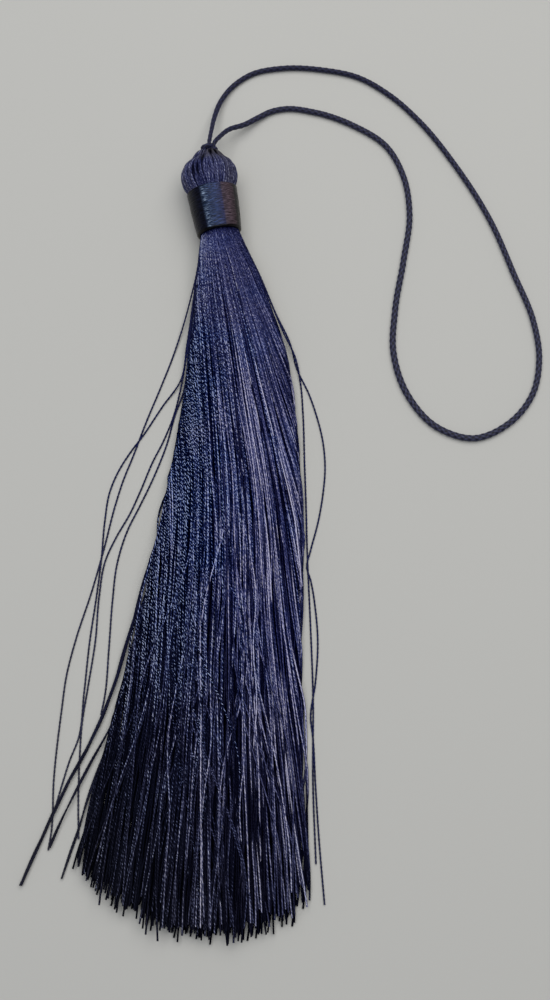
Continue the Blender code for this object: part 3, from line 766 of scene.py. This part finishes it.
bore_along, bore_radius = np.array(BORE).T
rows_along = with_bore(band_along, bore_along)
band = from_head(around(with_bore(band_radius, bore_radius), band_turn, rows_along))
band_light = np.interp(rows_along, (BAND_START, BAND_START + 0.25, BAND_END - 0.45, BAND_END - 0.3),
                       (0.3, 1.0, 1.0, 0.05))
band_round = np.arange(BAND_AROUND + 1)[None] / BAND_AROUND * MM
neck_band = skin("neck_band", over_table(band, 0.0)[None], band_round, closed=True,
                 shades=with_bore(ridge, np.zeros(len(BORE)))[None], lights=band_light[None])

# %% [markdown]
# ## What the band gives the eye
# Wound floss has no twist: its filaments lie side by side, so a turn is glossy along its length and dark in
# the groove beside it; the pale arcs on the turns and the shade in the grooves are also painted into the
# colour. The map's second number is the share of the way round, which lets the colour go from painted shade,
# near black, on one flank, over navy, to a painted brownish reflection on the other.

# %% Wound satin floss
# Colours at shares of the way round: painted shade on the left flank, navy, and a painted brownish reflection
# on the right. Just before the left flank turns to painted shade, its arcs are at their palest: painted glints.
FLANK_SHADE_AND_REFLECTION = (
    (0.0, "#140e12"), (0.085, "#0e0c10"), (0.10, "#3f333a"), (0.15, "#51444d"), (0.188, "#4d4350"),
    (0.198, "#303356"), (0.24, "#2c3c66"), (0.29, "#28395c"), (0.318, "#2a3a58"), (0.338, "#0c0f20"),
    (0.5, "#0a0d1c"), (0.75, "#0c1020"), (1.0, "#140e12"))
PAINTED_GLINT_PLACE = ((0.275, "#000000"), (0.312, "#ffffff"), (0.335, "#000000"))
PAINTED_GLINT_COLOUR = "#8b9cb4"

satin_floss, tree = new_material("wound_rayon_satin_floss")
chart, ridge_height, light = read_skin(tree)
way = add_node(tree, "ShaderNodeSeparateXYZ", {"Vector": chart})
filament = add_node(tree, "ShaderNodeMapping", {"Vector": chart, "Scale": (60.0, 24.0, 1.0)})
floss = add_node(tree, "ShaderNodeTexNoise", {
    "Vector": filament.outputs["Vector"], "Scale": 1.0, "Detail": 3.0, "Roughness": 0.6})
flank = add_node(tree, "ShaderNodeValToRGB", {"Fac": way.outputs["Y"]})
pale = add_node(tree, "ShaderNodeValToRGB", {"Fac": way.outputs["Y"]})
fill_ramp(flank, FLANK_SHADE_AND_REFLECTION)
fill_ramp(pale, PAINTED_GLINT_PLACE)
# painted shade in the grooves between turns, and painted glints where the floss noise is high
lifted = add_node(tree, "ShaderNodeMapRange", {
    "Value": ridge_height, "From Min": 0.1, "From Max": 0.8, "To Min": 0.25, "To Max": 1.0})
glint = add_node(tree, "ShaderNodeMapRange", {
    "Value": floss.outputs["Fac"], "From Min": 0.35, "From Max": 0.68, "To Min": 0.25, "To Max": 2.1})
spark = add_node(tree, "ShaderNodeMapRange", {
    "Value": floss.outputs["Fac"], "From Min": 0.5, "From Max": 0.68})
sparkling = add_node(tree, "ShaderNodeMath", {
    0: spark.outputs["Result"], 1: pale.outputs["Color"]}, operation="MULTIPLY")
arcs = add_node(tree, "ShaderNodeMix", {
    0: sparkling.outputs["Value"], 6: flank.outputs["Color"], 7: linear(PAINTED_GLINT_COLOUR)}, data_type="RGBA")
strength = add_node(tree, "ShaderNodeMath", {
    0: lifted.outputs["Result"], 1: glint.outputs["Result"]}, operation="MULTIPLY")
shaded = add_node(tree, "ShaderNodeMath", {0: strength.outputs["Value"], 1: light}, operation="MULTIPLY")
floss_colour = add_node(tree, "ShaderNodeVectorMath", {
    0: arcs.outputs[2], "Scale": shaded.outputs["Value"]}, operation="SCALE")
fine = add_node(tree, "ShaderNodeBump", {
    "Height": floss.outputs["Fac"], "Distance": 0.03 * MM, "Strength": 0.8})
shader = add_node(tree, "ShaderNodeBsdfPrincipled", {
    "Base Color": floss_colour.outputs["Vector"], "Roughness": 0.28, "IOR": 1.5, "Specular IOR Level": 0.12,
    "Normal": fine.outputs["Normal"]})
add_node(tree, "ShaderNodeOutputMaterial", {"Surface": shader.outputs["BSDF"]})
dress(neck_band, satin_floss, "binding", "neck_binding")

# %% [markdown]
# ## The skirt
# Hundreds of threads leave the neck as a round bundle and settle on the table as a wide, low, uneven fan. A
# thread is told where to be by two numbers: its share, how much of the bundle lies to its left, and its
# level, how high it lies in the bundle. Each section of the fan turns these two numbers into a place, and a
# smooth line through the sections is the thread.
#
# The bundle also turns as it comes down, because the threads are slightly twisted together: those on top pass
# over to the right and those underneath come up on the left. So a thread that starts on top sinks in among
# others further down, and its brightness follows how deep it lies at each point. That gives the skirt its
# long broken streaks.

# %% Sections of the fan
# y, left, right and thick are in millimetres; crown: the power of the rounded top, more being flatter
# under: how rounded the underside is, 0 being flat, 1 like the top
# turned: how far the bundle has turned; bunched, risen: how strongly threads cling; loose: how far they drift
Section = namedtuple("Section", "y left right thick under crown turned bunched risen loose")
SKIRT = (
    Section(-17.0, -2.4, 8.9, 7.0, 0.7, 2.0, 0.04, 0.05, 0.02, 0.0),
    Section(-29.0, -3.7, 13.4, 6.2, 0.3, 2.3, 0.13, 0.10, 0.03, 0.0),
    Section(-50.0, -6.8, 16.2, 5.1, 0.0, 2.8, 0.34, 0.14, 0.05, 0.2),
    Section(-80.0, -12.8, 16.3, 4.2, 0.0, 3.4, 0.52, 0.20, 0.09, 0.55),
    Section(-126.0, -24.8, 17.8, 2.7, 0.0, 4.0, 0.65, 0.24, 0.14, 1.0),
)
FAN = [Section(*row) for row in smooth_lines(np.array(SKIRT)[None], 45)[0]]  # the same fan in finer steps
NECK_SECTIONS = ((9.0, 2.95, 2.95), (10.3, 3.2, 3.15), (11.7, 3.7, 3.4))  # along, across and up
EDGE_THINNING = 0.7  # at 0.5 threads would fill a section evenly; more thins them out at its edges
THREAD_ROOM = 0.4  # the threads' own thickness is taken from the bundle's before they are placed
print("the fan is", round(FAN[-1].right - FAN[-1].left, 1), "mm wide at its last section")


def place_across(share, crown):
    """Gives the place across a section, from -1 to 1, that leaves this share of its threads to the left."""
    x = np.linspace(-1.0, 1.0, 801)
    threads = np.concatenate(([0.0], np.cumsum((1.0 - np.abs(x[1:]) ** crown) ** EDGE_THINNING)))
    return np.interp(share, threads / threads[-1], x)


def chord(place, crown):
    """Gives the height of a section at a place across it, as a share of its full thickness."""
    return np.sqrt(np.clip(1.0 - np.abs(place) ** crown, 0.0, 1.0))


def in_neck(share, level, along, across, up):
    """Places threads in the round section of the neck: across by share, up by level within the chord."""
    place = place_across(share, 2.0)
    height = chord(place, 2.0) * (2.0 * level - 1.0)
    return from_head(np.stack([place * across, height * up, np.full(place.shape, along)], axis=-1))


def in_skirt(section, share, level):
    """Places threads in a section of the fan: its top is rounded and its underside lies near the table."""
    place = place_across(share, section.crown)
    x = (section.left + section.right) / 2.0 + place * (section.right - section.left) / 2.0
    room = section.thick - THREAD_ROOM
    thick = room * chord(place, section.crown)
    z = section.under * (room - thick) / 2.0 + level * thick
    return np.stack([x, np.full(x.shape, section.y), z], axis=-1) * MM


# %% How the hem is cut
HEM_SHARE = (0.0, 0.08, 0.25, 0.45, 0.60, 0.80, 0.94, 1.0)
HEM_Y = (-111.5, -115.2, -118.9, -122.3, -123.2, -122.3, -120.4, -117.0)
HEM_UNEVEN = 0.75
LONGEST, SHORTEST = -2.6, 3.0  # no thread differs more from the cut than this


def hem(share, rng):
    """Gives the y at which each thread ends: a shallow arc, cut about a millimetre unevenly."""
    uneven = np.clip(rng.standard_t(3.0, share.shape) * HEM_UNEVEN, LONGEST, SHORTEST)
    return (np.interp(share, HEM_SHARE, HEM_Y) + uneven) * MM


# %% The bundle turns
EDGE_ROUND = 0.012  # the share over which a thread goes round an edge of the bundle


def turn_bundle(share, level, turned):
    """Turns the bundle: its top moves to the right and its underside to the left.

    Each share moves by the turn times how far the level is above the middle. A thread that would pass an edge
    goes round it: past the edge its share is mirrored back inwards and its level is mirrored too. Both
    mirrors are rounded, as a hyperbola rounds the corner of its two straight lines.
    """
    moved = share + turned * (2.0 * level - 1.0)
    from_left, from_right = np.hypot(moved, EDGE_ROUND), np.hypot(1.0 - moved, EDGE_ROUND)
    inside = (0.5 + 0.5 * moved / from_left) * (0.5 + 0.5 * (1.0 - moved) / from_right)
    return np.where(moved < 0.5, from_left, 1.0 - from_right), level * inside + (1.0 - level) * (1.0 - inside)


# %% From the neck to the cut tip
BUNCHES = 30
TOPMOST = 0.97  # the highest level, which leaves room for what lies on top


def depth_within(bottom, top, level):
    """Gives how deep below the bundle's top a level is: nothing at the edges, where the bundle is thin."""
    thick = np.linalg.norm(top - bottom, axis=1)
    return (1.0 - level) * thick**2 / thick.max()


def cut_at(skirt, cut):
    """Spreads each thread's places in the fan evenly in y, from the first section to where it is cut."""
    y = np.array([section.y for section in FAN]) * MM
    length = (cut - y[0]) / (y[-1] - y[0])
    step = np.interp(-(y[0] + (y - y[0]) * length[:, None]), -y, np.arange(len(FAN)))[..., None]
    before = np.clip(np.floor(step).astype(int), 0, len(FAN) - 2)
    lower = np.take_along_axis(skirt, before, axis=1)
    upper = np.take_along_axis(skirt, before + 1, axis=1)
    return lower + (upper - lower) * (step - before)


def lay_threads(share, level, rng, turns=1.0, drift=0.0, cling=1.0, landing=0.0):
    """Gives every thread's stations: three in the neck, and one for each section of the fan, to its cut tip.

    Threads cling to their neighbours, so each share is drawn towards the middle of its bunch, and each bunch
    rides a little higher or lower than the next; cling says how strongly. turns says how much of the bundle's
    turn each thread follows. drift moves the share sideways towards the tip, and landing is how far from
    there the tip is cut. A station has two more numbers, for smooth lines to carry along: how deep in the
    bundle the thread is there, and its share there.
    """
    last_share, last_level = turn_bundle(share, level, turns * FAN[-1].turned)
    bunch = np.floor(last_share * BUNCHES + 0.7 * np.sin(last_level * 5.0)).astype(int) + 2
    middle = (bunch - 1.5) / BUNCHES
    ride = rng.normal(0.0, 1.0, BUNCHES + 5)[bunch]
    neck, skirt = [], []
    for round_section in NECK_SECTIONS:
        place = in_neck(share, np.minimum(level, TOPMOST), *round_section)
        depth = depth_within(in_neck(share, 0.0, *round_section), in_neck(share, 1.0, *round_section), level)
        neck.append(np.column_stack([place, depth, share * MM]))
    for section in FAN:
        moved, raised = turn_bundle(share, level, turns * section.turned)
        pull = cling * section.bunched * (middle - last_share) + drift * section.loose
        moved = np.clip(moved + pull, 0.002, 0.998)
        place = in_skirt(section, moved, np.minimum(raised, TOPMOST))
        depth = depth_within(in_skirt(section, moved, 0.0), in_skirt(section, moved, 1.0), raised)
        place[:, 2] += cling * section.risen * ride * MM * np.clip(raised * 1.5, 0, 1)
        skirt.append(np.column_stack([place, depth, moved * MM]))
    cut = hem(np.clip(moved + landing, 0.0, 1.0), rng)
    return np.concatenate([np.stack(neck, axis=1), cut_at(np.stack(skirt, axis=1), cut)], axis=1)


# %% Slow waves
WAVES = ((62.0, 0.6), (31.0, 0.3), (17.0, 0.14))  # millimetres, and a share of the amount
RISING = 0.45  # waves up and down are smaller than those sideways
STRAIGHT_EDGE = 0.06  # the share beside an edge in which threads are drawn straight
LIFTS = 0.3  # how much of a wave's height takes a thread out of its neighbours' shade


def wander(lines, amount, rng):
    """Adds slow waves to each line, sideways and up, that grow from the neck to the hem.

    Threads at the bundle's edges are drawn straight, so there the sideways waves fade. A thread that a wave
    lifts lies less deep in the bundle, so part of the wave is taken from its depth.
    """
    run = line_lengths(lines[..., :3]) / MM
    share = lines[..., 4] / MM
    grow = fade_in(run, 8.0, 60.0)
    inside = fade_in(np.minimum(share, 1.0 - share), 0.0, STRAIGHT_EDGE, low=0.15)
    waved = lines.copy()
    for axis, scale in ((0, inside), (2, RISING)):
        for wavelength, part in WAVES:
            phase = rng.uniform(0.0, 2.0 * np.pi, (len(lines), 1))
            size = rng.normal(0.0, 1.0, (len(lines), 1))
            wave = amount * scale * part * size * grow * np.sin(2 * np.pi * run / wavelength + phase) * MM
            waved[..., axis] += wave
            if axis == 2:
                waved[..., 3] -= LIFTS * wave
    return waved


# %% How much light reaches a thread
RUN = (0.0, 15.0, 30.0, 50.0, 75.0, 95.0, 115.0)  # millimetres down from the neck
LIT_DEPTH = (0.10, 0.10, 0.10, 0.10, 0.08, 0.05, 0.035)  # mm, where it begins to be dim
DIM_LIGHT = (0.64, 0.60, 0.58, 0.72, 0.64, 0.27, 0.12)
BRIGHT_LIGHT = (0.47, 0.61, 0.84, 1.0, 1.06, 0.94, 0.78)
SHARE = (0.0, 0.06, 0.2, 0.5, 0.8, 1.0)
SIDE_LIGHT = (3.9, 2.8, 1.95, 1.22, 1.02, 1.02)  # most on the left, where the light gathers into beads
LIT_SHARE = 0.45  # of the threads at the top lie just so that they catch the light
LUCK_WAVE, LUCK_EDGE = 0.12, 0.08  # how far a thread's luck changes on its way, and how softly it counts
DIM_SPREAD, BRIGHT_SPREAD = 0.7, 0.3  # how much threads differ: the spread of the logarithm of their light
DARK_DEPTH = 1.1  # mm down, where hardly any light arrives
FLANK_LIGHT = 0.05  # of the light is left on a thread's flanks
WINDOW_EDGE = 0.07  # the share beside the right edge that faces the window
SHADED_SIDE = 0.7  # this much is lost on the left of the hem, which is turned away from the window
SHOULDER_LIGHT = 0.6  # this much is gained on the right, just under the band


def region_light(share, run):
    """Gives what the region of a point counts for: most at the left, less at the left of the hem.

    The right shoulder is lit more, and a thread gets little light until it is out from under the band.
    """
    hem_left = np.clip(1.3 - share / 0.6, 0.0, 1.0) * fade_in(run, 55.0, 35.0)
    shoulder = fade_in(share, 0.6, 0.3) * (1.0 - fade_in(run, 0.0, 25.0))
    emerging = fade_in(run, 1.2, 0.5, low=0.1)
    side = np.interp(share, SHARE, SIDE_LIGHT)
    return emerging * (1.0 + SHOULDER_LIGHT * shoulder) * (1.0 - SHADED_SIDE * hem_left) * side


def light_on(depth, share, run, sides, lit_share, rng):
    """Gives how much light reaches each point of each thread.

    Of the threads within a tenth of a millimetre of the top a share is lit fully, picked by luck that changes
    slowly along each thread; the rest are dim, and dimmer the deeper they lie. At the right edge, which faces
    the window, all depths count as less. Round a thread the light falls off as the cube of a cosine, because
    its neighbours touch it.
    """
    each = (len(run), 1)
    depth = depth * fade_in(1.0 - share, 0.0, WINDOW_EDGE, low=0.25)
    lit = np.clip(2.0 - depth / np.interp(run, RUN, LIT_DEPTH), 0.0, 1.0)
    luck = rng.uniform(0.0, 1.0, each)
    luck = luck + LUCK_WAVE * np.sin(run / 5.0 + rng.uniform(0.0, 2.0 * np.pi, each))
    lit = lit * np.clip((lit_share - luck) / LUCK_EDGE + 0.5, 0.0, 1.0)
    own = rng.normal(0.0, 1.0, each) * np.interp(run, (0.0, 30.0), (0.45, 1.0))
    dim = np.exp(DIM_SPREAD * own - 0.28) * np.clip(1.0 - depth / DARK_DEPTH, 0.04, 1.2)
    dim = dim * np.interp(run, RUN, DIM_LIGHT)
    bright = np.exp(BRIGHT_SPREAD * own) * np.interp(run, RUN, BRIGHT_LIGHT)
    flank = FLANK_LIGHT + (1.0 - FLANK_LIGHT) * np.clip(np.cos(ring_turns(sides)), 0.0, 1.0) ** 3
    return ((dim + (bright - dim) * lit) * region_light(share, run))[..., None] * flank


# %% From lines to threads
RADIUS_AT = (0.0, 0.02, 0.08, 0.2, 1.0)  # shares of the way down; threads are compressed in the neck
THREAD_RADII = (0.10, 0.11, 0.13, 0.155, 0.16)
NECK_TONE, TONE_SPREAD = 0.8, 0.25


def thread_tubes(name, lines, sides, rng, lit_share=LIT_SHARE):
    """Skins thread lines as round tubes that rest on the table, each with its twist started somewhere else.

    A thread's tone grows from the left of the bundle to its right, and near the band threads look more alike.
    """
    each = (len(lines), 1)
    depth, share, lines = lines[..., 3] / MM, lines[..., 4] / MM, lines[..., :3].copy()
    radius = np.interp(np.linspace(0, 1, lines.shape[1]), RADIUS_AT, THREAD_RADII) * MM
    lines = over_table(lines, radius)
    reach = radius[None, :, None] * np.ones(sides)
    run = line_lengths(lines)
    along = (run + rng.uniform(0.0, 1.0, each) * MM) * rng.uniform(0.85, 1.2, each)
    tones = np.clip(-0.15 + 1.3 * share + rng.normal(0.0, TONE_SPREAD, each), 0.0, 1.0)
    shades = NECK_TONE + (tones - NECK_TONE) * fade_in(run / MM, 0.0, 25.0, low=0.1)
    return skin(name, sweep(lines, TABLE_UP, reach, reach), along, shades=shades[..., None],
                lights=light_on(depth, share, run / MM, sides, lit_share, rng))


# %% The skirt's threads
SKIRT_THREADS = 680
CROWDING = 1.5  # more threads lie near the bundle's surface than in its middle
GOLDEN = (math.sqrt(5.0) - 1.0) / 2.0  # steps of this share never fall into rows
SKIRT_STEPS, SKIRT_WANDER = 46, 0.7
rng = np.random.default_rng(7)
share = (np.arange(SKIRT_THREADS) + 0.5) / SKIRT_THREADS
spread = 2.0 * ((0.5 + np.arange(SKIRT_THREADS) * GOLDEN) % 1.0) - 1.0
level = 0.5 + 0.5 * np.sign(spread) * (1.0 - (1.0 - np.abs(spread)) ** CROWDING)
turns = rng.normal(1.0, 0.05, SKIRT_THREADS)
stations = lay_threads(share, level, rng, turns)
third = np.floor(stations[:, -2, 4] / MM * 3.0)
for number, name in enumerate(("skirt_left", "skirt_middle", "skirt_right")):
    lines = wander(smooth_lines(stations[third == number], SKIRT_STEPS), SKIRT_WANDER, rng)
    dress(thread_tubes(name, lines, 6, rng), skirt_rayon, "thread", "thread_skirt")

# %% [markdown]
# ## Threads on top
# The last threads lie on top of the bundle, catch most of the light and part it into fine lines. Not every
# one keeps its place: some slide over their neighbours on the way down and end a few millimetres to one side,
# so long slanting lines cross the lower half of the skirt.

# %% Threads on top
ON_TOP = 124
CROSS_SHARE = 0.75
TOP_REACH = (0.03, 1.5)  # in shares at the hem; past 1 are those that have gone round the right edge by then
EDGE_SHARES = (0.08, 0.96)  # none slides nearer to an edge than this
SLIDE_MEAN, SLIDE_SPREAD = 0.04, 0.165
TOP_STEPS, TOP_WANDER = 60, 0.35  # finer steps and calmer waves, as they are seen best
OVER_OTHERS = 0.25  # mm that a sliding thread is raised, to lie on its neighbours
rng = np.random.default_rng(23)
last_share = np.interp(np.arange(ON_TOP) + 0.5 + rng.normal(0.0, 0.15, ON_TOP), (0, ON_TOP), TOP_REACH)
sliding = (rng.uniform(0.0, 1.0, ON_TOP) < CROSS_SHARE) & (last_share < EDGE_SHARES[1])
slide = np.clip(last_share + rng.normal(SLIDE_MEAN, SLIDE_SPREAD, ON_TOP), *EDGE_SHARES) - last_share
slide = np.where(sliding, slide, 0.0)
share, level = turn_bundle(last_share, rng.uniform(0.98, 1.0, ON_TOP), -FAN[-1].turned)
stations = lay_threads(share, level, rng, drift=rng.normal(0.0, 0.02, ON_TOP), cling=0.2, landing=slide)
cross_lines = wander(smooth_lines(stations, TOP_STEPS), TOP_WANDER, rng)

slide = slide[:, None] * (SKIRT[-1].right - SKIRT[-1].left)
begin, over = rng.uniform(45.0, 85.0, (ON_TOP, 1)), rng.uniform(22.0, 45.0, (ON_TOP, 1))
gone = fade_in(line_lengths(cross_lines[..., :3]) / MM, begin, over)
cross_lines[..., 0] += slide * (3.0 * gone**2 - 2.0 * gone**3) * MM  # with a soft start and stop
cross_lines[..., 2] += OVER_OTHERS * np.minimum(np.abs(slide), 1.0) * gone * MM
crossing_threads = thread_tubes("crossing_threads", cross_lines, 8, rng, lit_share=0.9)
dress(crossing_threads, skirt_rayon, "thread", "thread_skirt")
print(int(sliding.sum()), "of", ON_TOP, "slide, the furthest by", round(np.abs(slide).max(), 1), "mm")

# %% [markdown]
# ## Stray threads and locks
# A few threads have sprung out of the skirt on both sides and lie alone on the table, and three damp-looking
# locks of threads twisted together reach past the hem on the left. They are seen against a pale ground, so
# here the two plies are real: the ring of each thread is two-lobed and turns as it goes.

# %% Where the strays lie
# share and level say where it leaves the neck; its places are x and y on the table, in millimetres
Stray = namedtuple("Stray", "name share level places")
STRAYS = (
    Stray("far_left", 0.004, 0.45, (
        (-3.0, -20.5), (-4.2, -25.0), (-6.1, -30.9), (-8.2, -36.6), (-10.1, -41.5), (-12.4, -48.0),
        (-14.0, -52.3), (-15.2, -56.5), (-16.8, -63.5), (-18.6, -70.5), (-21.0, -78.5), (-22.3, -84.2),
        (-22.9, -89.6), (-23.8, -100.8), (-23.9, -108.5), (-24.3, -111.4))),
    Stray("mid_left", 0.006, 0.40, (
        (-3.6, -29.0), (-4.6, -34.9), (-7.6, -39.3), (-10.8, -44.4), (-13.0, -47.5), (-14.8, -50.6),
        (-16.1, -54.0), (-16.8, -59.0), (-17.2, -65.4), (-17.9, -72.0), (-18.7, -78.5), (-19.4, -87.0),
        (-20.1, -94.2), (-21.4, -97.7), (-22.5, -101.5), (-23.6, -105.6))),
    Stray("near_left", 0.008, 0.50, (
        (-3.4, -29.0), (-4.5, -35.8), (-5.9, -41.5), (-7.5, -45.6), (-9.1, -48.9), (-10.9, -53.5),
        (-12.7, -57.7), (-14.8, -61.5), (-16.5, -65.4), (-17.4, -71.5), (-17.8, -78.5), (-18.8, -86.0),
        (-19.6, -92.0), (-19.8, -97.3), (-19.8, -104.6), (-19.6, -109.7))),
    Stray("edge_left", 0.011, 0.35, (
        (-3.2, -29.0), (-4.2, -37.0), (-5.4, -40.5), (-6.9, -46.2), (-8.8, -51.3), (-11.1, -56.4),
        (-13.0, -60.4), (-14.6, -66.0), (-15.2, -72.0), (-15.6, -80.0), (-16.1, -87.7), (-16.6, -90.4))),
    Stray("near_right", 0.993, 0.55, (
        (12.7, -27.0), (14.6, -31.0), (15.5, -35.5), (15.9, -41.0), (16.1, -49.0), (16.3, -55.5),
        (16.5, -65.0), (16.9, -75.0), (17.3, -88.0), (17.2, -101.0), (17.6, -113.5))),
    Stray("far_right", 0.996, 0.50, (
        (11.4, -23.6), (13.7, -28.4), (14.9, -32.8), (16.9, -37.2), (18.1, -40.8), (19.2, -45.6),
        (19.5, -49.9), (19.1, -54.5), (18.3, -59.0), (17.0, -63.9), (16.4, -66.5), (17.0, -68.7),
        (17.8, -73.9), (18.1, -78.1), (17.7, -85.2), (16.9, -91.1), (17.2, -93.7), (17.6, -101.5),
        (18.1, -109.8), (18.9, -119.6))),
)
print("strays:", [stray.name for stray in STRAYS])

# %% Where the locks lie
# loose: how far its threads keep from its middle line; its places are x, y and height; all in millimetres
Lock = namedtuple("Lock", "name share threads loose places")
LOCKS = (
    Lock("long_lock", 0.03, 4, 0.24, (
        (-1.2, -40.0, 2.0), (-4.2, -54.0, 1.5), (-9.0, -65.4, 1.0), (-10.7, -71.6, 0.9),
        (-12.8, -79.5, 0.8), (-14.8, -86.6, 0.6), (-17.8, -94.1, 0.5), (-21.8, -101.8, 0.5),
        (-24.9, -108.6, 0.45), (-28.4, -116.7, 0.45))),
    Lock("low_lock", 0.04, 2, 0.17, (
        (-2.4, -50.0, 2.0), (-7.0, -70.0, 1.5), (-11.8, -84.0, 1.0), (-15.0, -92.5, 0.9),
        (-18.2, -98.4, 0.6), (-20.9, -103.9, 0.8), (-22.4, -107.1, 0.7), (-24.1, -111.0, 0.5))),
    Lock("hem_lock", 0.05, 2, 0.15, (
        (-3.6, -58.0, 2.0), (-8.6, -78.0, 1.5), (-14.0, -92.0, 1.0), (-18.3, -103.5, 0.4),
        (-19.7, -108.5, 0.3), (-20.9, -112.0, 0.25), (-22.1, -115.7, 0.25))),
)
print("locks:", [lock.name for lock in LOCKS])


# %% Two-ply tubes
STRAY_RADIUS = 0.15 * MM
STRAY_STEPS, LOCK_STEPS = 640, 420
STRAY_SIDES = 8
RESTS_AT = 1.2  # radii from the table to the lowest middle line, which leaves room for the swelling
PLY_SHARE = 0.16  # how much the ring's reach swells over its two plies


def two_ply(name, lines, shades, light):
    """Skins lines as two-ply threads on the table: a ring swells twice round, and turns once a pitch."""
    lines = over_table(lines, RESTS_AT * STRAY_RADIUS)
    run = line_lengths(lines)
    turn = ring_turns(STRAY_SIDES) + 2.0 * np.pi * run[..., None] / (PLY_PITCH * MM)
    reach = STRAY_RADIUS * (1.0 + PLY_SHARE * (np.cos(2.0 * turn) - 0.6))
    return skin(name, sweep(lines, TABLE_UP, reach, reach), run, shades=shades[:, None, None], lights=light)


def led_from_neck(share, level, sections):
    """Gives a thread's first places: two in the neck, and one in each of the skirt's first sections."""
    share, level = np.array([share]), np.array([level])
    in_necks = [in_neck(share, level, *NECK_SECTIONS[number])[0] for number in (0, 2)]
    return in_necks + [in_skirt(section, share, level)[0] for section in SKIRT[:sections]]


# %% Stray threads
STRAY_HEIGHTS = (1.6, 0.19)  # mm up at its first place, and once it has settled
SETTLES_OVER = 9.0


def stray_line(stray):
    """Leads a thread from the neck, through the skirt's edge, out along its own places on the table."""
    down = [-y for x, y in stray.places]
    height = np.interp(down, (down[0], down[0] + SETTLES_OVER), STRAY_HEIGHTS)
    places = np.column_stack([np.array(stray.places), height]) * MM
    return smooth_lines(np.vstack([led_from_neck(stray.share, stray.level, 1), places])[None], STRAY_STEPS)


stray_rayon = rayon_thread("twisted_rayon_stray_thread", 0.15, 0.2, 0.01 * MM)
rng = np.random.default_rng(31)
stray_lines = np.concatenate([stray_line(stray) for stray in STRAYS])
stray_threads = two_ply("stray_threads", stray_lines, rng.uniform(0.6, 1.0, len(stray_lines)), light=0.28)
dress(stray_threads, stray_rayon, "thread", "thread_skirt")

# %% Locks of threads twisted together
LOCK_LEVEL = 0.8
LOCK_PITCH, LOCK_SLACK = 26.0, 0.8  # mm for one turn of its twist; radians that this runs ahead and behind
LOCK_RAISED = 0.6  # of its threads' distance, as it lies on the table
TIP_CLOSES = 0.35  # towards its tip a lock is this much tighter


def lock_lines(lock):
    """Winds a lock's threads round its middle line: each keeps a small distance from it and turns slowly."""
    led = led_from_neck(lock.share, LOCK_LEVEL, 2)
    middle = smooth_lines(np.vstack([led, np.array(lock.places) * MM])[None], LOCK_STEPS)
    run = line_lengths(middle)[0] / MM
    apart = lock.loose * fade_in(run, 0.0, 20.0) * (1.0 - TIP_CLOSES * run / run[-1]) * MM
    number = np.arange(lock.threads)[:, None]
    slack = LOCK_SLACK * np.sin(run / 9.0 + number)
    turn = 2.0 * np.pi * (run / LOCK_PITCH + number / lock.threads) + slack
    lines = np.repeat(middle, lock.threads, axis=0)
    lines[..., 0] += apart * np.cos(turn)
    lines[..., 2] += apart * (np.sin(turn) + LOCK_RAISED)
    return lines


lock_strands = np.concatenate([lock_lines(lock) for lock in LOCKS])
lock_threads = two_ply("lock_threads", lock_strands, rng.uniform(0.2, 0.7, len(lock_strands)), light=0.16)
dress(lock_threads, stray_rayon, "thread", "thread_skirt")

# %% [markdown]
# ## Table and light
# A plain pale table, a large soft window above the head of the tassel and an even grey sky keep the shadows
# faint, so that the threads are read by their own gloss and by the light and shade painted into their colour.

# %% Table
TABLE_HALF = 1.5  # metres, far past what is seen
TABLE_TOP = -0.02 * MM  # a hair below zero, which the threads rest on, so that no face shares its surface
CORNERS = ((-1, -1), (1, -1), (1, 1), (-1, 1))
table_mesh = bpy.data.meshes.new("pale_table")
table_mesh.from_pydata([(x * TABLE_HALF, y * TABLE_HALF, TABLE_TOP) for x, y in CORNERS], [], [(0, 1, 2, 3)])
table = bpy.data.objects.new("pale_table", table_mesh)
bpy.context.collection.objects.link(table)
painted_board, tree = new_material("matt_painted_board")
shader = add_node(tree, "ShaderNodeBsdfPrincipled", {"Base Color": linear("#c3c4c1"), "Roughness": 0.9})
add_node(tree, "ShaderNodeOutputMaterial", {"Surface": shader.outputs["BSDF"]})
table_mesh.materials.append(painted_board)

# %% Lights
SKY = 0.22
world = bpy.data.worlds.new("soft_room")
world.use_nodes = True
world.node_tree.nodes.clear()
background = add_node(world.node_tree, "ShaderNodeBackground", {"Color": linear("#f3f5fa"), "Strength": SKY})
add_node(world.node_tree, "ShaderNodeOutputWorld", {"Surface": background.outputs["Background"]})
bpy.context.scene.world = world

Lamp = namedtuple("Lamp", "name place aim size watts colour")
LAMPS = (
    Lamp("window", (0.05, 0.12, 0.50), (0.01, -0.04, 0.0), 0.62, 2.65, "#fffcf8"),
    Lamp("sky_bounce", (-0.2, -0.1, 0.6), (0.0, -0.05, 0.0), 0.5, 0.35, "#e6edff"),
)
for lamp in LAMPS:
    light = bpy.data.lights.new(lamp.name, "AREA")
    light.size = lamp.size
    light.energy = lamp.watts
    light.color = linear(lamp.colour)[:3]
    holder = bpy.data.objects.new(lamp.name, light)
    holder.location = lamp.place
    holder.rotation_euler = (Vector(lamp.aim) - Vector(lamp.place)).to_track_quat("-Z", "Y").to_euler()
    bpy.context.collection.objects.link(holder)
print("lamps:", [lamp.name for lamp in LAMPS])
